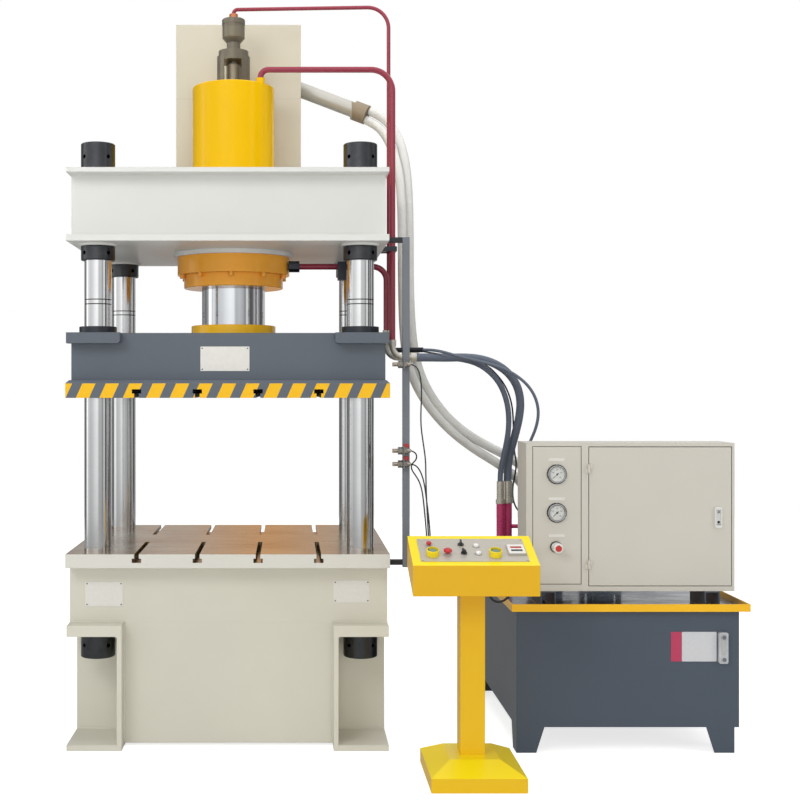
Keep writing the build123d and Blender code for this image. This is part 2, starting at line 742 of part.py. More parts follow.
def base_bracket(sx, sy):
    """Corner bracket round the pocket of the lower nut: gusset, foot and bored ledge."""
    high = LEDGE_Z + LEDGE_T
    spans = (sy * POCKET_Y, sy * BRACKET_HALF_Y)
    gusset = block(sx * GUSSET_X, sx * POCKET_X, *spans, 0, high)
    foot = block(sx * POCKET_X, sx * BASE_HALF_X, *spans, 0, FOOT_T)
    ledge = block(sx * POCKET_X, sx * BASE_HALF_X, *spans, LEDGE_Z - POCKET_R, high)
    room = block(sx * POCKET_X, sx * (BASE_HALF_X + WALL), sy * (POCKET_Y - WALL),
                 sy * (BRACKET_HALF_Y + WALL), LEDGE_Z - 3 * POCKET_R, LEDGE_Z)
    inner_side = 0 if sx > 0 else -1
    inner_top = room.edges().filter_by(Axis.Y).group_by(Axis.X)[inner_side].sort_by(Axis.Z)[-1]
    ledge -= fillet(inner_top, POCKET_R)
    return [gusset, foot, ledge - column_bore(sx, sy)]


def column_bore(sx, sy):
    """Clearance bore for a column's threaded end, through the ledge and the box."""
    return upright(sx * COLUMN_X, sy * COLUMN_Y, LEDGE_Z - 1, BASE_H + 1, THREAD_D + 2 * THROUGH)


def base_frame():
    """Welded base: a ribbed box on a core and two wings, with an open nut pocket at each corner."""
    top = base_box()
    brackets = []
    for sx, sy in QUADRANTS:
        top -= column_bore(sx, sy)
        brackets += base_bracket(sx, sy)
    return gather([top, base_core(), base_wing(-1), base_wing(1)] + brackets)


def slot_cutter(x, y_open, y_end, z_face, into):
    """A T-slot from an open edge to a rounded end, cut from a face in the direction into."""
    z_neck = z_face + into * SLOT_NECK_H
    z_head = z_neck + into * SLOT_HEAD_H
    over = z_face - into
    neck = block(x - SLOT_NECK_W / 2, x + SLOT_NECK_W / 2, y_open, y_end, over, z_neck)
    head = block(x - SLOT_HEAD_W / 2, x + SLOT_HEAD_W / 2, y_open, y_end, z_neck, z_head)
    neck += upright(x, y_end, over, z_neck, SLOT_NECK_W)
    return neck + head + upright(x, y_end, z_neck, z_head, SLOT_HEAD_W)


def table_plate():
    """Thick machined plate with T-slots from the front and from the rear."""
    plate = block(-TABLE_HALF_X, TABLE_HALF_X, -BRACKET_HALF_Y, BRACKET_HALF_Y, BASE_H, TABLE_TOP)
    slot_end = BRACKET_HALF_Y - SLOT_RUN_L
    for x in SLOT_XS:
        for side in (-1, 1):
            plate -= slot_cutter(x, side * (BRACKET_HALF_Y + 1), side * slot_end, TABLE_TOP, -1)
    for sx, sy in QUADRANTS:
        plate -= upright(sx * COLUMN_X, sy * COLUMN_Y, BASE_H - 1, TABLE_TOP + 1,
                         COLUMN_D + 2 * THROUGH)
    return plate


def column(x, y):
    """One column: a ground shaft between two shoulders, threaded at both ends."""
    shaft = COLUMN_D / 2
    thread = THREAD_D / 2
    profile = [(0, COLUMN_FOOT), (thread - COLUMN_CHAMFER, COLUMN_FOOT)]
    profile += [(thread, COLUMN_FOOT + COLUMN_CHAMFER), (thread, BASE_H), (shaft, BASE_H)]
    for drop in sorted(GROOVE_DROPS, reverse=True):
        low = SHOULDER_Z - drop - GROOVE_W / 2
        profile += [(shaft, low), (shaft - GROOVE_DEPTH, low)]
        profile += [(shaft - GROOVE_DEPTH, low + GROOVE_W), (shaft, low + GROOVE_W)]
    profile += [(shaft, SHOULDER_Z), (thread, SHOULDER_Z)]
    profile += [(thread, COLUMN_TOP - COLUMN_CHAMFER), (thread - COLUMN_CHAMFER, COLUMN_TOP)]
    profile += [(0, COLUMN_TOP)]
    return turned(profile, x, y)


def ring_nut(x, y, z0, height):
    """Round nut with chamfered edges and four holes for a tommy bar."""
    outer = NUT_D / 2
    inner = THREAD_D / 2 + SEAT
    top = z0 + height
    profile = [(inner, z0), (outer - NUT_CHAMFER, z0), (outer, z0 + NUT_CHAMFER)]
    profile += [(outer, top - NUT_CHAMFER), (outer - NUT_CHAMFER, top), (inner, top)]
    nut = turned(profile, x, y)
    middle = z0 + height / 2
    reach = NUT_D / 2 - TOMMY_DEPTH
    for turn in range(4):
        drill = along_x(reach, NUT_D, 0, 0, TOMMY_D)
        nut -= Pos(x, y, middle) * Rot(0, 0, 45 + 90 * turn) * drill
    return nut


def column_nuts():
    """Upper nuts, lock nuts under the crosshead and nuts under the base ledges."""
    nuts = []
    for sx, sy in QUADRANTS:
        x = sx * COLUMN_X
        y = sy * COLUMN_Y
        nuts.append(ring_nut(x, y, CROSSHEAD_TOP, TOP_NUT_H))
        nuts.append(ring_nut(x, y, SHOULDER_Z, LOCK_NUT_H))
        nuts.append(ring_nut(x, y, COLUMN_FOOT, BASE_NUT_H))
    return gather(nuts)


def crosshead_web(z0, z1):
    """The crosshead's walls and ribs, with a sleeve round each column's end."""
    body_x = CROSSHEAD_HALF_X - CROSSHEAD_BODY_INSET
    deep_x = body_x - WALL
    deep_y = BASE_HALF_Y - WALL
    cell = block(-deep_x, deep_x, -deep_y, deep_y, z0 - 1, z1 + 1)
    for sx, sy in QUADRANTS:
        cell -= upright(sx * COLUMN_X, sy * COLUMN_Y, z0 - 1, z1 + 1, THREAD_D + 2 * SLEEVE_WALL)
    for side in (-1, 1):
        rib_x = side * (BARREL_D / 2 + 6 * SLEEVE_WALL)
        cell -= block(rib_x, rib_x + side * WALL, -BASE_HALF_Y, BASE_HALF_Y, z0 - 1, z1 + 1)
    return block(-body_x, body_x, -BASE_HALF_Y, BASE_HALF_Y, z0, z1) - cell


def crosshead():
    """Welded box that carries the cylinder: walls and ribs between overhanging plates."""
    plate_top = CROSSHEAD_Z + CROSSHEAD_BOTTOM_T
    plate_low = CROSSHEAD_TOP - CROSSHEAD_TOP_T
    low = block(-CROSSHEAD_HALF_X, CROSSHEAD_HALF_X, -BRACKET_HALF_Y, BRACKET_HALF_Y,
                CROSSHEAD_Z, plate_top)
    low += upright(0, 0, BOSS_Z, CROSSHEAD_Z + 1, BOSS_D)
    for sx, sy in QUADRANTS:
        low += upright(sx * COLUMN_X, sy * COLUMN_Y, CROSSHEAD_Z - PAD_T, CROSSHEAD_Z + 1, PAD_D)
    for x, y in flange_bolt_places():
        low -= upright(x, y, BOSS_Z - 1, FLANGE_Z + FLANGE_BOLT_L + 1, FLANGE_BOLT_D + 2 * SEAT)
    high = block(-CROSSHEAD_HALF_X, CROSSHEAD_HALF_X, -BRACKET_HALF_Y, BRACKET_HALF_Y,
                 plate_low, CROSSHEAD_TOP)
    sleeve = upright(0, 0, plate_top, plate_low, BARREL_D + 4 * SLEEVE_WALL)
    bored = []
    for piece in (low, crosshead_web(plate_top, plate_low), sleeve, high):
        piece -= upright(0, 0, BOSS_Z - 1, CROSSHEAD_TOP + 1, BARREL_D + 2 * THROUGH)
        for sx, sy in QUADRANTS:
            piece -= upright(sx * COLUMN_X, sy * COLUMN_Y, CROSSHEAD_Z - PAD_T - 1,
                             CROSSHEAD_TOP + 1, THREAD_D + 2 * THROUGH)
        bored.append(piece)
    return gather(bored)


def flange_bolt_places():
    """Where the bolts of the cylinder flange sit on their circle."""
    places = []
    for index in range(FLANGE_BOLTS):
        turn = math.radians(FLANGE_BOLT_TURN + 360 / FLANGE_BOLTS * index)
        places.append((FLANGE_BOLT_R * math.cos(turn), FLANGE_BOLT_R * math.sin(turn)))
    return places


def cylinder_barrel():
    """Main cylinder with its mounting flange, closed at the top apart from the prefill port."""
    bore = BORE_D / 2
    cap_z = BARREL_TOP - BARREL_CAP_T
    profile = [(bore, FLANGE_Z), (FLANGE_D / 2, FLANGE_Z), (FLANGE_D / 2, BOSS_Z)]
    profile += [(BARREL_D / 2, BOSS_Z), (BARREL_D / 2, BARREL_TOP - 4), (BARREL_D / 2 - 4, BARREL_TOP)]
    profile += [(PORT_D / 2, BARREL_TOP), (PORT_D / 2, cap_z), (bore, cap_z)]
    barrel = turned(profile)
    barrel += upright(PRESSURE_X, PRESSURE_Y, BARREL_TOP - 1, BARREL_TOP + PRESSURE_BOSS_H,
                      PRESSURE_BOSS_D)
    barrel -= along_x(bore - 5, FLANGE_D, ROD_Y, ROD_PIPE_Z, SIDE_PORT_D)
    for x, y in flange_bolt_places():
        barrel -= upright(x, y, FLANGE_Z - 1, BOSS_Z + 1, FLANGE_BOLT_D + 2 * SEAT)
    return barrel


def gland_ring():
    """Ring that closes the cylinder round the ram, with a spigot in the bore."""
    inner = RAM_D / 2 + RUN
    spigot = BORE_D / 2 - SEAT
    profile = [(inner, GLAND_Z0), (GLAND_D / 2 - 3, GLAND_Z0), (GLAND_D / 2, GLAND_Z0 + 3)]
    profile += [(GLAND_D / 2, FLANGE_Z), (spigot, FLANGE_Z), (spigot, FLANGE_Z + GLAND_SPIGOT_H)]
    profile += [(inner, FLANGE_Z + GLAND_SPIGOT_H)]
    return turned(profile)


def flange_bolts():
    """Hexagon bolts through the cylinder flange into the crosshead."""
    bolts = []
    for x, y in flange_bolt_places():
        head = extrude(RegularPolygon(BOLT_HEAD_D / 2, 6), amount=BOLT_HEAD_H)
        bolt = Pos(x, y, FLANGE_Z - BOLT_HEAD_H) * head
        bolts.append(bolt + upright(x, y, FLANGE_Z - 1, FLANGE_Z + FLANGE_BOLT_L, FLANGE_BOLT_D))
    return gather(bolts)


def ram():
    """Chromed ram with its piston head, standing on the platen."""
    piston = BORE_D / 2 - RUN
    rod = RAM_D / 2
    low = RAM_TOP - PISTON_H
    profile = [(0, PLATEN_TOP), (rod, PLATEN_TOP), (rod, low), (piston, low)]
    profile += [(piston, RAM_TOP - 5), (piston - 5, RAM_TOP), (0, RAM_TOP)]
    return turned(profile)


def ram_collar():
    """Ring that holds the ram's foot to the platen."""
    inner = RAM_D / 2 + SEAT
    outer = RAM_COLLAR_D / 2
    top = PLATEN_TOP + RAM_COLLAR_H
    profile = [(inner, PLATEN_TOP), (outer, PLATEN_TOP), (outer, top - 3), (outer - 3, top), (inner, top)]
    collar = turned(profile)
    middle = (inner + outer) / 2
    for index in range(8):
        turn = math.radians(22.5 + 45 * index)
        x = middle * math.cos(turn)
        y = middle * math.sin(turn)
        collar -= upright(x, y, top - COLLAR_BOLT_D / 2, top + 1, COLLAR_BOLT_D * 1.5)
    return collar


def platen_flange():
    """Thick lower plate of the platen with its bevel and the T-slots underneath."""
    flange_top = PLATEN_Z + PLATEN_FLANGE_H
    body = block(-TABLE_HALF_X, TABLE_HALF_X, -BRACKET_HALF_Y, BRACKET_HALF_Y, PLATEN_Z, flange_top)
    footprint = Rectangle(2 * TABLE_HALF_X, 2 * BRACKET_HALF_Y)
    body += extrude(Pos(0, 0, flange_top) * footprint, amount=PLATEN_BEVEL, taper=45)
    for x in SLOT_XS:
        z_neck = PLATEN_Z + SLOT_NECK_H
        over = BRACKET_HALF_Y + 1
        body -= block(x - SLOT_NECK_W / 2, x + SLOT_NECK_W / 2, -over, over, PLATEN_Z - 1, z_neck)
        body -= block(x - SLOT_HEAD_W / 2, x + SLOT_HEAD_W / 2, -over, over, z_neck,
                      z_neck + SLOT_HEAD_H)
    return body


def platen_box():
    """Box body of the platen, open towards the flange it is welded to."""
    bevel_top = PLATEN_Z + PLATEN_FLANGE_H + PLATEN_BEVEL
    body_x = TABLE_HALF_X - PLATEN_BODY_INSET
    deep_x = body_x - WALL
    deep_y = PLATEN_HALF_Y - WALL
    deck_z = PLATEN_TOP - PLATEN_DECK_T
    cell = block(-deep_x, deep_x, -deep_y, deep_y, bevel_top - 1, deck_z)
    cell -= upright(0, 0, PLATEN_Z, PLATEN_TOP, RAM_COLLAR_D)
    for sx, sy in QUADRANTS:
        cell -= upright(sx * COLUMN_X, sy * COLUMN_Y, PLATEN_Z, PLATEN_TOP,
                        BUSH_D + 2 * BUSH_SLEEVE_WALL)
    for side in (-1, 1):
        rib_x = side * PLATEN_RIB_X
        cell -= block(rib_x, rib_x + side * WALL, -PLATEN_HALF_Y, PLATEN_HALF_Y, PLATEN_Z, PLATEN_TOP)
    return block(-body_x, body_x, -PLATEN_HALF_Y, PLATEN_HALF_Y, bevel_top, PLATEN_TOP) - cell


def platen_cap(sx, sy):
    """Cap ledge in front of or behind one corner of the platen's box."""
    cap_x = TABLE_HALF_X - PLATEN_CAP_INSET
    inner_x = COLUMN_X - PLATEN_CAP_INNER
    cap = block(sx * inner_x, sx * cap_x, sy * PLATEN_HALF_Y, sy * BRACKET_HALF_Y,
                PLATEN_TOP - PLATEN_CAP_H, PLATEN_TOP)
    inner_side = 0 if sx > 0 else -1
    low_edges = cap.edges().filter_by(Axis.Y).group_by(Axis.Z)[0]
    return fillet(low_edges.sort_by(Axis.X)[inner_side], PLATEN_CAP_R)


def platen():
    """Moving platen: slotted flange, box body bored for the bushes, cap ledges at the corners."""
    bored = []
    for piece in (platen_flange(), platen_box()):
        for sx, sy in QUADRANTS:
            piece -= upright(sx * COLUMN_X, sy * COLUMN_Y, PLATEN_Z - 1, PLATEN_TOP + 1,
                             BUSH_D + 2 * SEAT)
        bored.append(piece)
    return gather(bored + [platen_cap(sx, sy) for sx, sy in QUADRANTS])


def guide_bush(x, y):
    """Flanged bush that guides the platen on one column."""
    bore = COLUMN_D / 2 + RUN
    top = PLATEN_TOP + BUSH_FLANGE_H
    profile = [(bore, PLATEN_Z + BUSH_FOOT_GAP), (BUSH_D / 2, PLATEN_Z + BUSH_FOOT_GAP)]
    profile += [(BUSH_D / 2, PLATEN_TOP), (BUSH_FLANGE_D / 2, PLATEN_TOP)]
    profile += [(BUSH_FLANGE_D / 2, top - 2), (BUSH_FLANGE_D / 2 - 2, top), (bore, top)]
    return turned(profile, x, y)


def guide_bushes():
    """One bush at each column."""
    return gather(guide_bush(sx * COLUMN_X, sy * COLUMN_Y) for sx, sy in QUADRANTS)


def prefill_body():
    """Turned valve body: an open cage, a flange, a neck and a control cylinder."""
    cage = CAGE_D / 2
    guide = SPINDLE_D / 2 + RUN
    seat_z = BARREL_TOP + CAGE_SEAT_T
    roof_z = CAGE_TOP - CAGE_ROOF_T
    outline = [(SEAT_BORE_D / 2, BARREL_TOP), (cage, BARREL_TOP), (cage, CAGE_TOP)]
    outline += [(VALVE_FLANGE_D / 2, CAGE_TOP), (VALVE_FLANGE_D / 2, VALVE_FLANGE_Z)]
    outline += [(VALVE_NECK_D / 2, VALVE_FLANGE_Z), (VALVE_NECK_D / 2, VALVE_NECK_Z)]
    outline += [(VALVE_HEAD_D / 2, VALVE_HEAD_Z), (VALVE_HEAD_D / 2, VALVE_HEAD_TOP)]
    outline += [(VALVE_BORE_D / 2, VALVE_HEAD_TOP), (VALVE_BORE_D / 2, VALVE_HEAD_Z)]
    outline += [(guide, VALVE_HEAD_Z), (guide, roof_z), (cage - CAGE_WALL, roof_z)]
    outline += [(cage - CAGE_WALL, seat_z), (SEAT_BORE_D / 2, seat_z)]
    body = turned(outline)
    half = WINDOW_W / 2
    for turn in WINDOW_TURNS:
        body -= Rot(0, 0, turn) * block(-half, half, -CAGE_D, 0, seat_z, roof_z)
    return body


def prefill_poppet():
    """Poppet: disc under the seat, stem in the cage, spindle and control piston above."""
    disc_top = BARREL_TOP - 2 * SEAT
    stem_top = disc_top + POPPET_STEM_H
    piston_top = VALVE_HEAD_TOP - PILOT_PISTON_GAP
    piston_low = piston_top - PILOT_PISTON_H
    disc = POPPET_DISC_D / 2
    stem = POPPET_STEM_D / 2
    spindle = SPINDLE_D / 2
    piston = VALVE_BORE_D / 2 - RUN
    profile = [(0, disc_top - POPPET_DISC_H), (disc - 6, disc_top - POPPET_DISC_H)]
    profile += [(disc, disc_top - POPPET_DISC_H + 6), (disc, disc_top), (stem, disc_top)]
    profile += [(stem, stem_top - 4), (stem - 4, stem_top), (spindle, stem_top), (spindle, piston_low)]
    profile += [(piston, piston_low), (piston, piston_top), (0, piston_top)]
    return turned(profile)


def prefill_cap():
    """Cap of the control cylinder, and the hexagon fitting on it."""
    spigot = VALVE_BORE_D / 2 - SEAT
    rim = VALVE_CAP_D / 2
    low = VALVE_HEAD_TOP - VALVE_SPIGOT_H
    profile = [(0, low), (spigot, low), (spigot, VALVE_HEAD_TOP), (rim, VALVE_HEAD_TOP)]
    profile += [(rim, VALVE_CAP_TOP - 4), (rim - 4, VALVE_CAP_TOP), (0, VALVE_CAP_TOP)]
    hexagon = RegularPolygon(VALVE_NUT_AF / 2, 6, major_radius=False)
    nut = Pos(0, 0, VALVE_CAP_TOP) * extrude(hexagon, amount=VALVE_NUT_H)
    return gather([turned(profile), nut])


def outlet_point(distance):
    """A point on the axis of the fill tank's outlet pipe."""
    return Vector(FILL_X1, OUTLET_Y, OUTLET_Z) + Vector(*OUTLET_DIR).normalized() * distance


def fill_tank():
    """Sheet-metal tank on the crosshead, with its sloping outlet pipe and collar."""
    y1 = BRACKET_HALF_Y
    y0 = y1 - FILL_DEPTH
    top = CROSSHEAD_TOP + FILL_H
    shell = block(FILL_X0, FILL_X1, y0, y1, CROSSHEAD_TOP, top)
    shell -= block(FILL_X0 + FILL_WALL, FILL_X1 - FILL_WALL, y0 + FILL_WALL, y1 - FILL_WALL,
                   CROSSHEAD_TOP + FILL_WALL, top - FILL_WALL)
    axis = Vector(*OUTLET_DIR)
    pipe_start = Plane(origin=outlet_point(-2 * FILL_WALL), z_dir=axis)
    pipe = extrude(pipe_start * Circle(OUTLET_D / 2), amount=OUTLET_L + 2 * FILL_WALL)
    pipe -= block(FILL_X0, FILL_X1 - FILL_WALL, y0, y1, CROSSHEAD_TOP, top)
    collar_start = Plane(origin=outlet_point(OUTLET_L - OUTLET_COLLAR_BACK), z_dir=axis)
    collar_l = OUTLET_COLLAR_BACK + OUTLET_COLLAR_FRONT
    collar = extrude(collar_start * Circle(OUTLET_COLLAR_D / 2), amount=collar_l)
    for route in (RETURN_1_ROUTE, RETURN_2_ROUTE):
        collar += boot(route, RETURN_HOSE_D, RETURN_STUB_L)
    return shell + pipe + collar


def pilot_pipe():
    """Thin pipe from the top of the prefill valve over and down the right side."""
    run_z = VALVE_TOP + PILOT_RUN_RISE
    points = [(0, 0, VALVE_TOP), (0, 0, run_z)]
    points += [(PILOT_PIPE_X, PILOT_Y, run_z), (PILOT_PIPE_X, PILOT_Y, PILOT_DROP_Z)]
    return tube(points, [PILOT_START_R, PIPE_BEND_R], PILOT_PIPE_D)


def pressure_pipe():
    """Pipe from the top of the cylinder over and down the right side."""
    foot_z = BARREL_TOP + PRESSURE_BOSS_H
    run_z = foot_z + PRESSURE_RUN_RISE
    points = [(PRESSURE_X, PRESSURE_Y, foot_z), (PRESSURE_X, PRESSURE_Y, run_z)]
    points += [(PRESSURE_PIPE_X, PRESSURE_Y, run_z), (PRESSURE_PIPE_X, PRESSURE_Y, PRESSURE_DROP_Z)]
    return tube(points, [PRESSURE_START_R, PIPE_BEND_R], PRESSURE_PIPE_D)


def rod_pipe():
    """Pipe from the cylinder flange through a valve block and down the right side."""
    first = along_x(ROD_COUPLING_END, VALVE_BLOCK_X0, ROD_Y, ROD_PIPE_Z, ROD_PIPE_D)
    points = [(VALVE_BLOCK_X1, ROD_Y, ROD_PIPE_Z), (ROD_PIPE_X, ROD_Y, ROD_PIPE_Z)]
    points += [(ROD_PIPE_X, ROD_Y, ROD_DROP_Z)]
    return gather([first, tube(points, [ROD_BEND_R], ROD_PIPE_D)])


def pilot_elbow_point(x):
    """A point on the level leg of the pilot elbow."""
    along = x - PILOT_PIPE_X
    y = PILOT_Y - along * math.tan(math.radians(PILOT_ELBOW_TURN))
    return (x, y, PILOT_ELBOW_Z)


def line_fittings():
    """Dark fittings of the pipes: hexagon coupling, valve block, pipe clamp, pilot elbow."""
    hexagon = RegularPolygon(ROD_COUPLING_AF / 2, 6, major_radius=False)
    flange_edge = math.sqrt((FLANGE_D / 2) ** 2 - (abs(ROD_Y) - ROD_COUPLING_AF / 2) ** 2)
    coupling = extrude(hexagon, amount=ROD_COUPLING_END - flange_edge)
    coupling = Pos(flange_edge, ROD_Y, ROD_PIPE_Z) * Rot(0, 90, 0) * coupling
    valve = block(VALVE_BLOCK_X0, VALVE_BLOCK_X1, ROD_Y - VALVE_BLOCK_W / 2,
                  ROD_Y + VALVE_BLOCK_W / 2, VALVE_BLOCK_Z0, VALVE_BLOCK_Z1)
    clamp = block(CROSSHEAD_HALF_X, PRESSURE_PIPE_X + CLAMP_MARGIN, PRESSURE_Y - CLAMP_MARGIN,
                  PILOT_Y + CLAMP_MARGIN, CLAMP_Z0, CLAMP_Z1)
    for x, y, diameter in ((PILOT_PIPE_X, PILOT_Y, PILOT_PIPE_D),
                           (PRESSURE_PIPE_X, PRESSURE_Y, PRESSURE_PIPE_D)):
        clamp -= upright(x, y, CLAMP_Z0 - 1, CLAMP_Z1 + 1, diameter + 2 * SEAT)
    rod_edge = ROD_PIPE_X + ROD_PIPE_D / 2 + SEAT
    rod_y = ROD_PIPE_D / 2 + SEAT
    clamp -= block(CROSSHEAD_HALF_X - 1, rod_edge, ROD_Y - rod_y, ROD_Y + rod_y,
                   CLAMP_Z0 - 1, CLAMP_Z1 + 1)
    points = [(PILOT_PIPE_X, PILOT_Y, PILOT_DROP_Z), pilot_elbow_point(PILOT_PIPE_X)]
    points += [pilot_elbow_point(PILOT_ELBOW_END)]
    elbow = tube(points, [PILOT_ELBOW_R], PILOT_ELBOW_D)
    boss_y = pilot_elbow_point(SIGNAL_BOSS_X)[1]
    elbow += along_y(SIGNAL_BOSS_X, boss_y, SIGNAL_ROUTE[0][1], PILOT_ELBOW_Z, SIGNAL_BOSS_D)
    return gather([coupling, valve, clamp, elbow])


def swept_elbow(x, y, drop_z, end_x, pipe_d, hose_d):
    """Steel elbow from a pipe that comes down to a hose that leaves to the right."""
    points = [(x, y, drop_z), (x, y, ELBOW_Z), (end_x - FERRULE_L, y, ELBOW_Z)]
    elbow = tube(points, [ELBOW_R], pipe_d)
    elbow += upright(x, y, drop_z - ELBOW_NUT_H, drop_z, ELBOW_NUT_D)
    return elbow + along_x(end_x - FERRULE_L, end_x, y, ELBOW_Z, hose_d + 2 * FERRULE_WALL)


def supply_ferrule(place, hose_d):
    """Crimped ferrule with a collar, upright on a supply pipe."""
    x, y = place
    top = SUPPLY_TOP_Z + SUPPLY_FERRULE_H
    outer = hose_d + 2 * FERRULE_WALL
    ferrule = upright(x, y, SUPPLY_TOP_Z, top, outer)
    return ferrule + upright(x, y, SUPPLY_TOP_Z, SUPPLY_TOP_Z + SUPPLY_COLLAR_H,
                             outer + 2 * SUPPLY_COLLAR_WALL)


def hose_fittings():
    """Steel elbows and ferrules at both ends of the two main hoses."""
    hose_1_y = HOSE_1_ROUTE[0][1]
    hose_2_y = HOSE_2_ROUTE[0][1]
    return gather([
        swept_elbow(ROD_PIPE_X, ROD_Y, ROD_DROP_Z, HOSE_1_END_X, ROD_PIPE_D, HOSE_1_D),
        swept_elbow(PRESSURE_PIPE_X, PRESSURE_Y, PRESSURE_DROP_Z, HOSE_2_END_X,
                    PRESSURE_PIPE_D, HOSE_2_D),
        supply_ferrule(SUPPLY_1, HOSE_1_D),
        supply_ferrule(SUPPLY_2, HOSE_2_D),
    ])


def sensor_mast():
    """Square tube beside the press with an arm to the crosshead, one to the table, and tabs."""
    half = MAST_W / 2
    inner = half - MAST_WALL
    mast = block(MAST_X - half, MAST_X + half, MAST_Y - half, MAST_Y + half, MAST_Z0, MAST_Z1)
    mast -= block(MAST_X - inner, MAST_X + inner, MAST_Y - inner, MAST_Y + inner,
                  MAST_Z0 + MAST_WALL, MAST_Z1 - MAST_WALL)
    left = MAST_X - half
    mast += block(CROSSHEAD_HALF_X, left, MAST_Y - ARM_W / 2, MAST_Y + ARM_W / 2,
                  CROSSHEAD_Z + 4, CROSSHEAD_Z + 4 + ARM_H)
    mast += block(TABLE_HALF_X, left, MAST_Y - ARM_W / 2, MAST_Y + ARM_W / 2,
                  BASE_H, BASE_H + ARM_H)
    for z in SENSOR_ZS:
        tab = block(left, left + SENSOR_TAB_T, SENSOR_Y - SENSOR_TAB_W / 2, MAST_Y - half,
                    z - SENSOR_TAB_W / 2, z + SENSOR_TAB_W / 2)
        mast += tab - along_x(left - 1, left + SENSOR_TAB_T + 1, SENSOR_Y, z, SENSOR_D + 2 * SEAT)
    return mast


def proximity_sensor(z):
    """Threaded sensor held in its tab by two nuts."""
    left = MAST_X - MAST_W / 2
    body = along_x(SENSOR_X0, SENSOR_X0 + SENSOR_L, SENSOR_Y, z, SENSOR_D)
    hexagon = RegularPolygon(SENSOR_NUT_AF / 2, 6, major_radius=False)
    nut = extrude(hexagon, amount=SENSOR_NUT_T)
    for x in (left - SENSOR_NUT_T, left + SENSOR_TAB_T):
        body += Pos(x, SENSOR_Y, z) * Rot(0, 90, 0) * nut
    return body


def proximity_sensors():
    """Three sensors that read the platen's height, each with its cable's boot."""
    routes = (CABLE_1_ROUTE, CABLE_2_ROUTE, CABLE_3_ROUTE)
    sensors = []
    for z, route in zip(SENSOR_ZS, routes):
        sensors.append(proximity_sensor(z) + boot(route, SENSOR_CABLE_D * 2, GLAND_L))
    return gather(sensors)


def tank_leg(x, y, sx, sy):
    """Folded corner leg: two flanges that taper towards the floor."""
    top = LEG_H
    along_front = [(0, 0), (LEG_FOOT_W, 0), (LEG_TOP_W, top), (0, top)]
    front = make_face(Polyline(*[(x - sx * u, y, z) for u, z in along_front], close=True))
    side = make_face(Polyline(*[(x, y - sy * u, z) for u, z in along_front], close=True))
    leg = extrude(front, amount=LEG_T, dir=(0, -sy, 0))
    return leg + extrude(side, amount=LEG_T, dir=(-sx, 0, 0))


def tank_shell():
    """Oil tank of welded plate, open at the top, on four legs."""
    shell = block(TANK_X0, TANK_X1, TANK_Y0, TANK_Y1, LEG_H, TANK_TOP)
    shell -= block(TANK_X0 + TANK_WALL, TANK_X1 - TANK_WALL, TANK_Y0 + TANK_WALL,
                   TANK_Y1 - TANK_WALL, LEG_H + TANK_WALL, TANK_TOP + 1)
    for x, sx in ((TANK_X0, -1), (TANK_X1 - LEG_INSET_RIGHT, 1)):
        for y, sy in ((TANK_Y0, -1), (TANK_Y1, 1)):
            shell += tank_leg(x, y, sx, sy)
    return shell


def tank_lid():
    """Lid plate with cabinet supports, return ports and holes for pump and breather."""
    x0 = TANK_X0 - RIM_OVER_LEFT + RIM_T
    x1 = TANK_X1 + RIM_OVER_RIGHT - RIM_T
    y0 = TANK_Y0 - RIM_OVER_Y + RIM_T
    y1 = TANK_Y1 + RIM_OVER_Y - RIM_T
    lid = block(x0, x1, y0, y1, TANK_TOP, LID_TOP)
    for x in SUPPORT_XS:
        rail = block(x, x + SUPPORT_W, CABINET_Y0, CABINET_Y1, LID_TOP, CABINET_Z)
        rail -= block(x + SUPPORT_WALL, x + SUPPORT_W - SUPPORT_WALL, CABINET_Y0 - 1,
                      CABINET_Y1 + 1, LID_TOP, CABINET_Z - SUPPORT_WALL)
        lid += rail
    for x in RETURN_PORT_XS:
        lid += upright(x, RETURN_PORT_Y, TANK_TOP, LID_TOP + RETURN_PORT_H, RETURN_HOSE_D)
    lid -= upright(MOTOR_X, MOTOR_Y, TANK_TOP - 1, LID_TOP + 1, PUMP_SHAFT_D + 8 * THROUGH)
    lid += upright(BREATHER_X, BREATHER_Y, LID_TOP - 1, LID_TOP + BREATHER_H, BREATHER_D)
    return lid


def drip_rim():
    """Raised rim round the lid."""
    x0 = TANK_X0 - RIM_OVER_LEFT
    x1 = TANK_X1 + RIM_OVER_RIGHT
    y0 = TANK_Y0 - RIM_OVER_Y
    y1 = TANK_Y1 + RIM_OVER_Y
    top = TANK_TOP + RIM_H
    rim = block(x0, x1, y0, y1, TANK_TOP, top)
    return rim - block(x0 + RIM_T, x1 - RIM_T, y0 + RIM_T, y1 - RIM_T, TANK_TOP - 1, top + 1)


def level_gauge():
    """Oil level gauge on the front of the tank, with its two bolts."""
    z = LEG_H + LEVEL_RISE
    body = block(LEVEL_X - LEVEL_W / 2, LEVEL_X + LEVEL_W / 2, TANK_Y0 - LEVEL_T, TANK_Y0,
                 z - LEVEL_H / 2, z + LEVEL_H / 2)
    body = fillet(body.edges().filter_by(Axis.Y), 8)
    for side in (-1, 1):
        hexagon = RegularPolygon(LEVEL_BOLT_D / 2, 6)
        head = Rot(90, 0, 0) * extrude(hexagon, amount=8)
        body += Pos(LEVEL_X, TANK_Y0 - LEVEL_T, z + side * LEVEL_BOLT_PITCH / 2) * head
    return body


